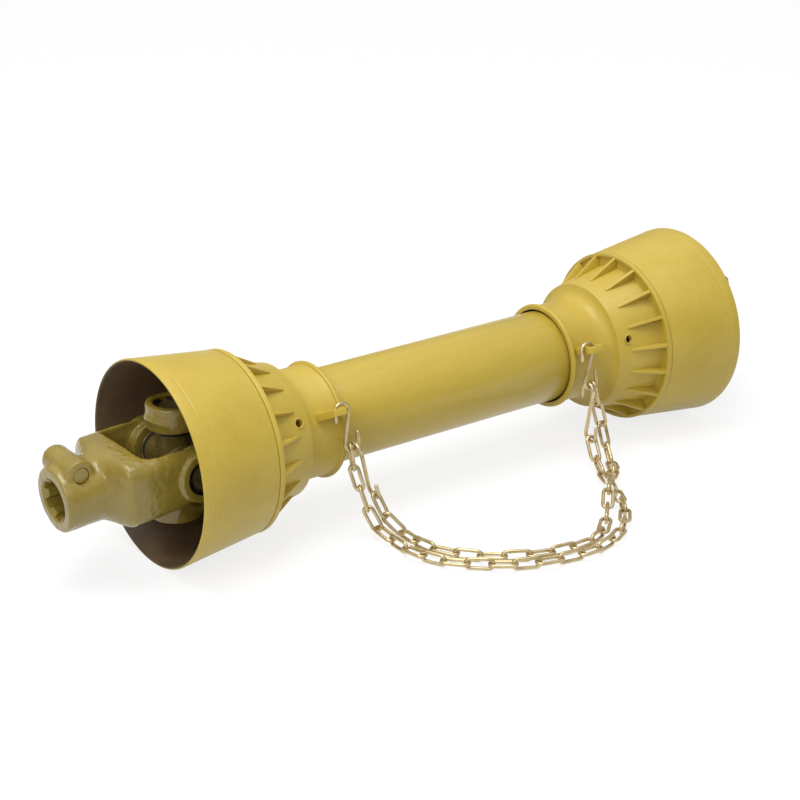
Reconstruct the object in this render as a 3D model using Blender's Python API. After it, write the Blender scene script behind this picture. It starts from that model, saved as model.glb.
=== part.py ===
"""A guarded universal joint shaft, pushed together and lying on its two guard bells.

X runs along the shaft, with the lowered yoke at -X, Z is up, and the floor is Z = 0. Each end is modelled in
a frame of its own at the centre of its cross, where -X points out of the shaft.
"""

import math
from dataclasses import dataclass

import bmesh
import bpy
from mathutils import Matrix, Vector

MM = 0.001

# Whole shaft: closed length over the hub faces, and the gaps of sliding and seated pieces.
CLOSED_LENGTH = 752 * MM
SLIDE_FIT = 0.4 * MM
SEAT_GAP = 0.3 * MM

# Guard bell: a drafted shell, widest at its open rim.
BELL_RIM_RADIUS = 88 * MM
BELL_BACK_RADIUS = 78.7 * MM
BELL_LENGTH = 76.5 * MM
BELL_WALL = 2.6 * MM
BELL_RIM_BEYOND_CROSS = 25 * MM
BELL_LIP_WIDTH = 9 * MM
GUARD_FACETS = 36

# Guard cone: flange with a raised rim, ribbed cone, shoulder, and collar with an end bead.
FLANGE_RIM_WIDTH = 3.2 * MM
FLANGE_RIM_HEIGHT = 4.5 * MM
FLANGE_WEB = 2.2 * MM
SPIGOT_LENGTH = 8 * MM
CONE_LENGTH = 45.5 * MM
CONE_BASE_RADIUS = 66.5 * MM
CONE_SHOULDER_RADIUS = 58 * MM
CONE_WALL = 3 * MM
RIB_COUNT = 18
RIB_THICKNESS = 3 * MM
RIB_RUN = 32 * MM
BEAD_WIDTH = 4.5 * MM
LEFT_COLLAR_RADIUS = 48 * MM
LEFT_BEAD_RADIUS = 51 * MM
LEFT_COLLAR_END = 137.5 * MM
RIGHT_COLLAR_RADIUS = 45.4 * MM
RIGHT_BEAD_RADIUS = 48 * MM
RIGHT_COLLAR_END = 143.5 * MM
STOP_LIP_DEPTH = 2 * MM
COLLAR_GRIP = 13 * MM
MOUTH_GAP = 1.4 * MM
ACCESS_HOLE_RADIUS = 3.3 * MM
ACCESS_HOLE_INSET = 11 * MM

# Chain lug: a fin on the collar with a hole near its free end.
LUG_LENGTH = 22.5 * MM
LUG_HEIGHT = 67.5 * MM
LUG_THICKNESS = 6.4 * MM
LUG_HOLE_RADIUS = 4.2 * MM
LUG_HOLE_HEIGHT = 59.5 * MM
LUG_HOLE_SETBACK = 15 * MM
LUG_WEB = 5.6 * MM

# Guard tubes and the nylon rings that the shaft turns in.
GUARD_TUBE_RADIUS = 41.6 * MM
GUARD_TUBE_WALL = 2.5 * MM
OUTER_GUARD_CLEAR = 4.1 * MM
INNER_GUARD_CLEAR = 17.1 * MM
SLIDE_RING_WIDTH = 13 * MM
SLIDE_RING_SLIT = 3 * MM
GROOVE_DEPTH = 3 * MM

# Cross with its needle cups, seals, snap rings and grease nipple.
CUP_RADIUS = 15.1 * MM
CUP_SPAN = 92 * MM
CUP_LENGTH = 19 * MM
CUP_FLOOR = 2.4 * MM
TRUNNION_RADIUS = 11 * MM
CROSS_BODY_RADIUS = 14.5 * MM
SEAL_WIDTH = 2.6 * MM
SNAP_RING_THICKNESS = 1.5 * MM
SNAP_RING_DEPTH = 1.1 * MM
SNAP_RING_WIDTH = 3.6 * MM
NIPPLE_RADIUS = 3.4 * MM
NIPPLE_LENGTH = 10 * MM

# Forks, alike on the end yokes and the tube yokes.
EAR_GAP = 57 * MM
EAR_OUTER = 50 * MM
EAR_BOSS_RADIUS = 22 * MM
EAR_FLANK = 46.5 * MM
EAR_WALL = 10 * MM
EAR_TIP_RADIUS = 25 * MM
FORK_HALF_HEIGHT = 30 * MM
FORK_SHOULDER_RUN = 14 * MM
VALLEY_DEPTH = 48 * MM
VALLEY_CORNER = 11 * MM
FORK_SECTION_POINTS = 18

# End yoke: round hub with a six-spline bore and a spring-loaded lock pin across it.
YOKE_REACH = 111 * MM
HUB_RADIUS = 27.4 * MM
HUB_LENGTH = 34 * MM
SPLINE_COUNT = 6
SPLINE_MINOR_RADIUS = 14.9 * MM
SPLINE_MAJOR_RADIUS = 17.5 * MM
SPLINE_WIDTH = 8.7 * MM
SPLINE_CHAMFER = 1.4 * MM
PIN_FROM_FACE = 18 * MM
PIN_HEIGHT = 22.5 * MM
PIN_RADIUS = 6.6 * MM
PIN_WAIST_RADIUS = 5.2 * MM
PIN_STEM_RADIUS = 6 * MM
PIN_COLLAR_RADIUS = 8.6 * MM
PIN_COLLAR_WIDTH = 3.3 * MM
PIN_PROUD = 2.5 * MM
PIN_BOSS_RADIUS = 12 * MM
PIN_BOSS_NEAR = 18.5 * MM
PIN_BOSS_FAR = 25.5 * MM
SPRING_WIRE = 1.2 * MM
SPRING_TURNS = 4
SPRING_LENGTH = 15 * MM
SPRING_SEAT = 4 * MM
SPRING_POINTS = 9
RETAINER_THICKNESS = 2 * MM
RETAINER_BITE = 1 * MM

# Tube yoke: neck with the ring groove and a socket for its profile tube, held by a spring pin.
NECK_RADIUS = 33 * MM
NECK_BEYOND_GROOVE = 5 * MM
SOCKET_START = 62 * MM
SPRING_PIN_X = 78 * MM
SPRING_PIN_RADIUS = 4 * MM
SPRING_PIN_BORE = 2.2 * MM
SPRING_PIN_SLIT = 1.4 * MM

# Sliding profile tubes, a rounded three-lobed section.
PROFILE_MEAN_RADIUS = 24.6 * MM
PROFILE_LOBE = 1.9 * MM
PROFILE_WALL = 3 * MM
PROFILE_POINTS = 24
OUTER_PROFILE_CLEAR = 7.1 * MM
INNER_PROFILE_CLEAR = 18 * MM

# Guard chains: welded links and S hooks.
LINK_WIRE = 3.2 * MM
LINK_WIDTH = 11.6 * MM
LINK_PITCH = 20.3 * MM
LINK_BITE = 0.9 * MM
LINK_END_FLAT = 0.45
LINK_END_RUN = 0.65
HOOK_WIRE = 3.5 * MM
HOOK_LOOP_RADIUS = 6.75 * MM
LUG_HOOK_SPAN = 28 * MM
HOOK_TIP = 9 * MM
LUG_HOOK_TILT = math.radians(10)
LINK_HOOK_SPAN = 40 * MM
LINK_HOOK_SHIFT = 6.4 * MM
LEFT_LUG_HOOK_SHIFT = 6.4 * MM
RIGHT_LUG_HOOK_SHIFT = 0.5 * MM
HOOK_ARC_POINTS = 8

# Derived places shared by several pieces.
BELL_BACK_X = BELL_LENGTH - BELL_RIM_BEYOND_CROSS
FLANGE_X = BELL_BACK_X + SEAT_GAP
SHOULDER_X = FLANGE_X + CONE_LENGTH
RING_X = SHOULDER_X + STOP_LIP_DEPTH
TUBE_SEAT_X = RING_X + SLIDE_RING_WIDTH + 2 * SEAT_GAP
NECK_END_X = TUBE_SEAT_X + NECK_BEYOND_GROOVE
COLLAR_BORE = GUARD_TUBE_RADIUS + SEAT_GAP
INNER_GUARD_RADIUS = GUARD_TUBE_RADIUS - GUARD_TUBE_WALL - 2 * SLIDE_FIT
GROOVE_RADIUS = NECK_RADIUS - GROOVE_DEPTH
CROSS_X = CLOSED_LENGTH / 2 - YOKE_REACH
AXIS_Z = BELL_RIM_RADIUS * math.cos(math.pi / GUARD_FACETS)
EAR_BORE = CUP_RADIUS + SEAT_GAP
OUTER_GUARD_END = CROSS_X - TUBE_SEAT_X - COLLAR_GRIP - OUTER_GUARD_CLEAR
INNER_GUARD_END = NECK_END_X + INNER_GUARD_CLEAR - CROSS_X
OUTER_PROFILE_END = CROSS_X - NECK_END_X - OUTER_PROFILE_CLEAR
INNER_PROFILE_END = SPRING_PIN_X + SPRING_PIN_RADIUS + INNER_PROFILE_CLEAR - CROSS_X
CUP_END = CUP_SPAN / 2
PIN_X = PIN_FROM_FACE - YOKE_REACH
WELD = 1e-7
PIN_FACETS = 12
BOSS_FACETS = 16
RING_FACETS = 24


@dataclass
class End:
    """What differs between the two ends: where they stand, how the yoke lies, and their guard collars."""

    name: str
    side: int
    droop: float
    swing: float
    collar_radius: float
    bead_radius: float
    collar_end: float
    lug_angle: float
    hook_shift: float


LEFT = End(
    "left", -1, math.radians(4.2), 0.0, LEFT_COLLAR_RADIUS, LEFT_BEAD_RADIUS, LEFT_COLLAR_END, math.radians(26.5),
    LEFT_LUG_HOOK_SHIFT,
)
RIGHT = End(
    "right", 1, math.radians(6), math.radians(20), RIGHT_COLLAR_RADIUS, RIGHT_BEAD_RADIUS, RIGHT_COLLAR_END,
    math.radians(20), RIGHT_LUG_HOOK_SHIFT,
)


def clear_scene():
    for old in list(bpy.data.objects):
        bpy.data.objects.remove(old, do_unlink=True)


def material(name, colour, roughness, metallic):
    """One Principled material for each finish on the object."""
    made = bpy.data.materials.new(name)
    made.use_nodes = True
    shader = made.node_tree.nodes["Principled BSDF"]
    shader.inputs["Base Color"].default_value = (*colour, 1.0)
    shader.inputs["Roughness"].default_value = roughness
    shader.inputs["Metallic"].default_value = metallic
    made.diffuse_color = (*colour, 1.0)
    return made


def add(name, data, finish, parent=None, turn=(0, 0, 0)):
    """A visible sub-part from a bmesh, a mesh or a curve."""
    if isinstance(data, bmesh.types.BMesh):
        mesh = bpy.data.meshes.new(name)
        data.to_mesh(mesh)
        data.free()
        data = mesh
    made = bpy.data.objects.new(name, data)
    bpy.context.scene.collection.objects.link(made)
    made.parent = parent
    made.rotation_euler = turn
    data.materials.clear()
    data.materials.append(finish)
    return made


def combine(target, operation, data, turn=(0, 0, 0)):
    """Cuts a hidden tool from the target, or joins it on, in the target's own frame."""
    step = len(target.modifiers)
    tool = add(f"{target.name}_tool_{step}", data, target.data.materials[0], target, turn)
    tool.hide_render = True
    tool.display_type = "WIRE"
    joined = target.modifiers.new(f"{operation.lower()}_{step}", "BOOLEAN")
    joined.operation = operation
    joined.object = tool
    joined.solver = "EXACT"


def empty(name, place, turn, parent=None):
    made = bpy.data.objects.new(name, None)
    bpy.context.scene.collection.objects.link(made)
    made.location = place
    made.rotation_euler = turn
    made.parent = parent
    return made


def finished(bm):
    bmesh.ops.remove_doubles(bm, verts=bm.verts, dist=WELD)
    bmesh.ops.recalc_face_normals(bm, faces=bm.faces)
    return bm


def turned(profile, facets, hollow=True, start=0.0):
    """A body turned about X from (x, radius) points: a closed ring section, or a solid from axis to axis."""
    bm = bmesh.new()
    points = [bm.verts.new((x, r * math.cos(start), r * math.sin(start))) for x, r in profile]
    edges = [bm.edges.new(pair) for pair in zip(points, points[1:])]
    if hollow:
        edges.append(bm.edges.new((points[-1], points[0])))
    bmesh.ops.spin(
        bm, geom=points + edges, cent=(0, 0, 0), axis=(1, 0, 0), angle=math.tau, steps=facets, use_merge=True
    )
    return finished(bm)


def split_ring(x0, x1, inner, outer, slit, facets):
    """A ring about X with a slit at +Y, as on a snap ring or a split bush."""
    bm = bmesh.new()
    section = bm.faces.new(bm.verts.new((x, r, 0)) for x, r in ((x0, inner), (x1, inner), (x1, outer), (x0, outer)))
    open_angle = slit / outer
    bmesh.ops.rotate(bm, verts=bm.verts, cent=(0, 0, 0), matrix=Matrix.Rotation(open_angle / 2, 3, "X"))
    geometry = [section, *section.edges, *section.verts]
    swept = math.tau - open_angle
    bmesh.ops.spin(bm, geom=geometry, cent=(0, 0, 0), axis=(1, 0, 0), angle=swept, steps=facets)
    return finished(bm)


def extruded(outline, depth):
    """A plate of the given outline with one face on the outline's plane; depth is its thickness vector."""
    bm = bmesh.new()
    face = bm.faces.new([bm.verts.new(point) for point in outline])
    grown = bmesh.ops.extrude_face_region(bm, geom=[face])
    moved = [item for item in grown["geom"] if isinstance(item, bmesh.types.BMVert)]
    bmesh.ops.translate(bm, verts=moved, vec=depth)
    return finished(bm)


def lofted(sections):
    """A closed body through rings of equal point counts."""
    bm = bmesh.new()
    rings = [[bm.verts.new(point) for point in ring] for ring in sections]
    for ring in (rings[0], rings[-1]):
        bm.faces.new(ring)
    for before, after in zip(rings, rings[1:]):
        edges = []
        for ring in (before, after):
            for pair in zip(ring, ring[1:] + ring[:1]):
                edges.append(bm.edges.get(pair) or bm.edges.new(pair))
        bmesh.ops.bridge_loops(bm, edges=edges)
    return finished(bm)


def arc(centre, radius, first, last, count):
    """Points on an arc, angles in degrees, in whatever plane the caller reads them."""
    step = math.radians(last - first) / (count - 1)
    angles = [math.radians(first) + step * i for i in range(count)]
    return [(centre[0] + radius * math.cos(a), centre[1] + radius * math.sin(a)) for a in angles]


def cylinder(radius, x0, x1, facets):
    return turned([(x0, 0), (x0, radius), (x1, radius), (x1, 0)], facets, hollow=False)


ALONG_Y = (0, 0, math.pi / 2)
ALONG_Z = (0, -math.pi / 2, 0)


def guard_bell(end, frame, finish):
    """The drafted shell round the joint, with a lip at its back that lies inside the cone's flange."""
    draft = (BELL_RIM_RADIUS - BELL_BACK_RADIUS) / BELL_LENGTH
    rim_x = -BELL_RIM_BEYOND_CROSS
    edge = BELL_WALL / 3
    profile = [
        (rim_x, BELL_RIM_RADIUS - edge),
        (rim_x + edge, BELL_RIM_RADIUS),
        (BELL_BACK_X, BELL_BACK_RADIUS),
        (BELL_BACK_X, BELL_BACK_RADIUS - BELL_WALL),
        (rim_x + edge, BELL_RIM_RADIUS - BELL_WALL + edge * draft),
        (rim_x, BELL_RIM_RADIUS - BELL_WALL + edge),
    ]
    flat_down = -math.pi / 2 + math.pi / GUARD_FACETS
    return add(f"guard_bell_{end.name}", turned(profile, GUARD_FACETS, start=flat_down), finish, frame)


def guard_cone(end, frame, finish):
    """The ribbed base cone with its collar: one moulding, turned, ribbed, with a chain lug and an access hole."""
    fillet = CONE_SHOULDER_RADIUS - end.collar_radius
    bead = end.bead_radius - end.collar_radius
    rim_x = FLANGE_X + FLANGE_RIM_HEIGHT
    rim_radius = BELL_BACK_RADIUS
    spigot_radius = BELL_BACK_RADIUS - BELL_WALL - SEAT_GAP
    stop_radius = (GROOVE_RADIUS + end.collar_radius) / 2 + bead / 2
    inside_x = SHOULDER_X - CONE_WALL
    outer = [
        (FLANGE_X, rim_radius),
        (rim_x, rim_radius),
        (rim_x, rim_radius - FLANGE_RIM_WIDTH),
        (FLANGE_X + FLANGE_WEB, rim_radius - FLANGE_RIM_WIDTH),
        (FLANGE_X + FLANGE_WEB, CONE_BASE_RADIUS),
        *arc((SHOULDER_X + fillet, CONE_SHOULDER_RADIUS), fillet, 180, 270, 4),
        (end.collar_end - BEAD_WIDTH, end.collar_radius),
        (end.collar_end - BEAD_WIDTH + bead / 2, end.bead_radius),
        (end.collar_end, end.bead_radius),
    ]
    if end is LEFT:
        bore = [(end.collar_end, COLLAR_BORE)]
    else:
        mouth = GUARD_TUBE_RADIUS + MOUTH_GAP
        grip = INNER_GUARD_RADIUS + SEAT_GAP
        grip_x = TUBE_SEAT_X + COLLAR_GRIP
        bore = [(end.collar_end, mouth), (grip_x, mouth), (grip_x, grip)]
        bore += [(TUBE_SEAT_X, grip), (TUBE_SEAT_X, COLLAR_BORE)]
    inner = [
        (RING_X, COLLAR_BORE),
        (RING_X, stop_radius),
        (inside_x, stop_radius),
        (inside_x, CONE_SHOULDER_RADIUS - CONE_WALL),
        (FLANGE_X, CONE_BASE_RADIUS - CONE_WALL),
        (FLANGE_X, spigot_radius - CONE_WALL),
        (FLANGE_X - SPIGOT_LENGTH, spigot_radius - CONE_WALL),
        (FLANGE_X - SPIGOT_LENGTH, spigot_radius),
        (FLANGE_X, spigot_radius),
    ]
    # Angles about X are measured in the end's own frame, from +Y towards +Z. Each rib stands mid-facet.
    towards = math.pi - end.lug_angle if end is LEFT else end.lug_angle
    first_rib = towards + math.pi / RIB_COUNT
    phase = first_rib + math.pi / GUARD_FACETS
    section = outer + bore + inner
    cone = add(f"guard_cone_{end.name}", turned(section, GUARD_FACETS, start=phase), finish, frame)
    combine(cone, "UNION", gusset_ribs(first_rib))
    combine(cone, "UNION", lug_plate(end), (towards, 0, 0))
    lug_hole = cylinder(LUG_HOLE_RADIUS, -LUG_THICKNESS, LUG_THICKNESS, PIN_FACETS)
    bmesh.ops.rotate(lug_hole, verts=lug_hole.verts, matrix=Matrix.Rotation(math.pi / 2, 3, "Y"))
    hole_place = (end.collar_end - LUG_HOLE_SETBACK, LUG_HOLE_HEIGHT, 0)
    bmesh.ops.translate(lug_hole, verts=lug_hole.verts, vec=hole_place)
    combine(cone, "DIFFERENCE", lug_hole, (towards, 0, 0))
    access = cylinder(ACCESS_HOLE_RADIUS, CONE_SHOULDER_RADIUS / 2, CONE_BASE_RADIUS, PIN_FACETS)
    bmesh.ops.rotate(access, verts=access.verts, matrix=Matrix.Rotation(math.pi / 2, 3, "Z"))
    bmesh.ops.translate(access, verts=access.verts, vec=(SHOULDER_X - ACCESS_HOLE_INSET, 0, 0))
    combine(cone, "DIFFERENCE", access, (towards, 0, 0))
    return cone


def gusset_ribs(first):
    """The ring of tapered ribs between the flange's rim and the cone."""
    bite = CONE_WALL / 2
    slope = (CONE_BASE_RADIUS - CONE_SHOULDER_RADIUS) / CONE_LENGTH
    start = FLANGE_X + FLANGE_WEB / 2
    top = BELL_BACK_RADIUS - FLANGE_RIM_WIDTH / 2
    end_x = start + RIB_RUN
    foot = CONE_BASE_RADIUS - slope * (end_x - FLANGE_X)
    outline = [
        (start, CONE_BASE_RADIUS - bite),
        (start, top),
        (FLANGE_X + FLANGE_RIM_HEIGHT - bite / 3, top),
        (end_x, foot + bite / 4),
        (end_x, foot - bite),
    ]
    bm = bmesh.new()
    for number in range(RIB_COUNT):
        face = bm.faces.new([bm.verts.new((x, r, -RIB_THICKNESS / 2)) for x, r in outline])
        grown = bmesh.ops.extrude_face_region(bm, geom=[face])["geom"]
        far = [item for item in grown if isinstance(item, bmesh.types.BMVert)]
        bmesh.ops.translate(bm, verts=far, vec=(0, 0, RIB_THICKNESS))
        both = list({*face.verts, *far})
        spin = Matrix.Rotation(first + number * math.tau / RIB_COUNT, 3, "X")
        bmesh.ops.rotate(bm, verts=both, cent=(0, 0, 0), matrix=spin)
    return finished(bm)


def lug_plate(end):
    """The chain lug's fin in the plane Z = 0, rooted in the collar's wall."""
    free_end = end.collar_end - LUG_HOLE_SETBACK + LUG_HOLE_RADIUS + LUG_WEB
    root = end.collar_radius - CONE_WALL / 2
    corner = (LUG_HEIGHT - LUG_HOLE_HEIGHT) / 2
    outline = [
        (free_end - LUG_LENGTH, root, -LUG_THICKNESS / 2),
        (free_end, root, -LUG_THICKNESS / 2),
        (free_end, LUG_HEIGHT - corner, -LUG_THICKNESS / 2),
        (free_end - corner, LUG_HEIGHT, -LUG_THICKNESS / 2),
        (free_end - LUG_LENGTH * 2 / 3, LUG_HEIGHT, -LUG_THICKNESS / 2),
    ]
    return extruded(outline, (0, 0, LUG_THICKNESS))


def pipe(x0, x1, outer, wall, facets):
    return turned([(x0, outer - wall), (x0, outer), (x1, outer), (x1, outer - wall)], facets)


def superellipse(x, half_y, half_z, power):
    """A ring at x that runs from a circle, at power 2, towards a rectangle with rounded corners."""
    ring = []
    for i in range(FORK_SECTION_POINTS):
        angle = math.tau * (i + 0.5) / FORK_SECTION_POINTS
        c, s = math.cos(angle), math.sin(angle)
        y = half_y * math.copysign(abs(c) ** (2 / power), c)
        z = half_z * math.copysign(abs(s) ** (2 / power), s)
        ring.append((x, y, z))
    return ring


def fork_sections(neck_radius, neck_x):
    """The forged block from the round neck to the ear tips, as lofted sections towards +X."""
    sections = []
    for share, spread, power in ((0, 0, 2), (0.3, 0.3, 2.6), (0.65, 0.78, 4.5), (1, 1, 6)):
        half_y = neck_radius + spread * (EAR_FLANK - neck_radius)
        half_z = neck_radius + spread * (FORK_HALF_HEIGHT - neck_radius)
        sections.append((neck_x + share * FORK_SHOULDER_RUN, half_y, half_z, power))
    sections += [
        (VALLEY_CORNER / 3 - VALLEY_DEPTH, EAR_FLANK, FORK_HALF_HEIGHT, 6),
        (-VALLEY_DEPTH / 2, EAR_FLANK, (FORK_HALF_HEIGHT * 2 + EAR_TIP_RADIUS) / 3, 6),
        (0, EAR_FLANK, EAR_TIP_RADIUS, 5),
    ]
    for share in (0.45, 0.75, 0.92):
        height = EAR_TIP_RADIUS * math.sqrt(1 - share * share)
        sections.append((share * EAR_TIP_RADIUS, EAR_FLANK - 6 * MM * share**3, height, 4))
    return [superellipse(*section) for section in sections]


def ear_work(yoke):
    """The wide valley between the ears, then a boss on each ear that stands proud of both its sides."""
    half = EAR_FLANK - EAR_WALL
    corner_x = VALLEY_CORNER - VALLEY_DEPTH
    corner_y = half - VALLEY_CORNER
    valley = arc((corner_x, corner_y), VALLEY_CORNER, 90, 180, 4)
    valley += arc((corner_x, -corner_y), VALLEY_CORNER, 180, 270, 4)
    outline = [(x, y, -EAR_OUTER) for x, y in valley]
    outline += [(EAR_OUTER, -half, -EAR_OUTER), (EAR_OUTER, half, -EAR_OUTER)]
    combine(yoke, "DIFFERENCE", extruded(outline, (0, 0, 2 * EAR_OUTER)))
    for x0, x1 in ((EAR_GAP / 2, EAR_OUTER), (-EAR_OUTER, -EAR_GAP / 2)):
        combine(yoke, "UNION", cylinder(EAR_BOSS_RADIUS, x0, x1, BOSS_FACETS), ALONG_Y)


def ear_bores(yoke):
    """The cup bores with their snap-ring grooves, through both ears."""
    groove = EAR_BORE + SNAP_RING_DEPTH
    near = CUP_END
    far = CUP_END + SNAP_RING_THICKNESS + 2 * SEAT_GAP
    half = [(near, EAR_BORE), (near, groove), (far, groove), (far, EAR_BORE), (2 * EAR_OUTER, EAR_BORE)]
    bore = [(-2 * EAR_OUTER, 0), *((-x, r) for x, r in reversed(half)), *half, (2 * EAR_OUTER, 0)]
    combine(yoke, "DIFFERENCE", turned(bore, PIN_FACETS, hollow=False), ALONG_Y)


def end_yoke(end, pivot, finish):
    """The yoke that slides onto the splined shaft: hub, lock-pin boss, fork and splined bore."""
    face = -YOKE_REACH
    round_edge = HUB_RADIUS / 12
    sections = [
        superellipse(face, HUB_RADIUS - round_edge, HUB_RADIUS - round_edge, 2),
        superellipse(face + round_edge, HUB_RADIUS, HUB_RADIUS, 2),
        *fork_sections(HUB_RADIUS, face + HUB_LENGTH),
    ]
    yoke = add(f"end_yoke_{end.name}", lofted(sections), finish, pivot)
    boss = cylinder(PIN_BOSS_RADIUS, -PIN_BOSS_NEAR, PIN_BOSS_FAR, BOSS_FACETS)
    combine(yoke, "UNION", set_across(boss))
    ear_work(yoke)

    combine(yoke, "DIFFERENCE", extruded(spline_outline(2 * face), (-2 * face, 0, 0)))
    mouth = SPLINE_MAJOR_RADIUS + SPLINE_CHAMFER
    chamfer = [(face - mouth, 0), (face - mouth, 2 * mouth), (face + mouth, 0)]
    combine(yoke, "DIFFERENCE", turned(chamfer, BOSS_FACETS, hollow=False))

    through = PIN_BOSS_NEAR + PIN_BOSS_FAR
    shank = PIN_RADIUS + SEAT_GAP
    room = PIN_COLLAR_RADIUS + SEAT_GAP
    ring_room = room + RETAINER_BITE
    ring_near = retainer_y() - SEAT_GAP
    ring_far = retainer_y() + RETAINER_THICKNESS + SEAT_GAP
    bore = [
        (-through, 0),
        (-through, shank),
        (-SPRING_SEAT, shank),
        (-SPRING_SEAT, room),
        (ring_near, room),
        (ring_near, ring_room),
        (ring_far, ring_room),
        (ring_far, room),
        (through, room),
        (through, 0),
    ]
    combine(yoke, "DIFFERENCE", set_across(turned(bore, PIN_FACETS, hollow=False)))
    ear_bores(yoke)
    return yoke


def spline_outline(x):
    """The splined bore's section at x: the minor circle with straight-sided slots."""
    half = SPLINE_WIDTH / 2
    shoulder = math.asin(half / SPLINE_MINOR_RADIUS)
    outline = []
    for number in range(SPLINE_COUNT):
        middle = math.tau * (number + 0.5) / SPLINE_COUNT
        before = middle - shoulder
        flats = [
            (SPLINE_MINOR_RADIUS, middle - math.pi / SPLINE_COUNT),
            (SPLINE_MINOR_RADIUS, before),
            (SPLINE_MAJOR_RADIUS, middle - math.asin(half / SPLINE_MAJOR_RADIUS)),
            (SPLINE_MAJOR_RADIUS, middle + math.asin(half / SPLINE_MAJOR_RADIUS)),
            (SPLINE_MINOR_RADIUS, middle + shoulder),
        ]
        outline += [(x, r * math.cos(a), r * math.sin(a)) for r, a in flats]
    return outline


def set_across(bm):
    """Lays a body turned about X along Y, at the lock pin's place in the hub."""
    bmesh.ops.rotate(bm, verts=bm.verts, cent=(0, 0, 0), matrix=Matrix.Rotation(math.pi / 2, 3, "Z"))
    bmesh.ops.translate(bm, verts=bm.verts, vec=(PIN_X, 0, PIN_HEIGHT))
    return bm


def retainer_y():
    """Where the retaining ring's inner face stands: just past the pin's collar at rest."""
    return SPRING_LENGTH - SPRING_SEAT + PIN_COLLAR_WIDTH + 3 * SEAT_GAP


def lock_parts(end, pivot, steel, spring_steel):
    """The push pin across the hub, its return spring and the ring that keeps both in the boss."""
    near = -PIN_BOSS_NEAR
    collar = SPRING_LENGTH - SPRING_SEAT + 2 * SEAT_GAP
    waist = collar - PIN_COLLAR_WIDTH * 2
    tip = PIN_BOSS_FAR + PIN_PROUD
    edge = PIN_STEM_RADIUS / 6
    profile = [
        (near, 0),
        (near, PIN_RADIUS - edge),
        (near + edge, PIN_RADIUS),
        (waist, PIN_RADIUS),
        (waist, PIN_WAIST_RADIUS),
        (collar, PIN_WAIST_RADIUS),
        (collar, PIN_COLLAR_RADIUS),
        (collar + PIN_COLLAR_WIDTH, PIN_COLLAR_RADIUS),
        (collar + PIN_COLLAR_WIDTH, PIN_STEM_RADIUS),
        (tip - edge, PIN_STEM_RADIUS),
        (tip, PIN_STEM_RADIUS - edge),
        (tip, 0),
    ]
    pin = turned(profile, PIN_FACETS, hollow=False)
    add(f"lock_pin_{end.name}", set_across(pin), steel, pivot)

    inner = PIN_STEM_RADIUS + SEAT_GAP
    outer = PIN_COLLAR_RADIUS + RETAINER_BITE
    ring_y = retainer_y()
    ring = pipe(ring_y, ring_y + RETAINER_THICKNESS, outer, outer - inner, PIN_FACETS)
    add(f"lock_retainer_{end.name}", set_across(ring), steel, pivot)

    coil_radius = PIN_RADIUS + 2 * SEAT_GAP + SPRING_WIRE / 2
    first = -SPRING_SEAT + SEAT_GAP + SPRING_WIRE / 2
    rise = (SPRING_LENGTH - SPRING_WIRE) / SPRING_TURNS
    points = []
    for i in range(round(SPRING_TURNS * SPRING_POINTS) + 1):
        turn = i / SPRING_POINTS
        angle = math.tau * turn
        points.append(
            (PIN_X + coil_radius * math.cos(angle), first + rise * turn, PIN_HEIGHT + coil_radius * math.sin(angle))
        )
    add(f"lock_spring_{end.name}", wire(f"lock_spring_{end.name}", points, SPRING_WIRE), spring_steel, pivot)
    if end is LEFT:
        print(f"lock spring: least gap between turns {(rise - SPRING_WIRE) / MM:.2f} mm")


def wire(name, points, thickness, closed=False):
    """A round wire along points, as a bevelled curve."""
    curve = bpy.data.curves.new(name, "CURVE")
    curve.dimensions = "3D"
    curve.bevel_depth = thickness / 2
    curve.bevel_resolution = 0 if closed else 1
    curve.use_fill_caps = True
    runs = points if closed else [points]
    for run in runs:
        spline = curve.splines.new("POLY")
        spline.points.add(len(run) - 1)
        for place, point in zip(spline.points, run):
            place.co = (*point, 1.0)
        spline.use_cyclic_u = closed
    return curve


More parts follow.
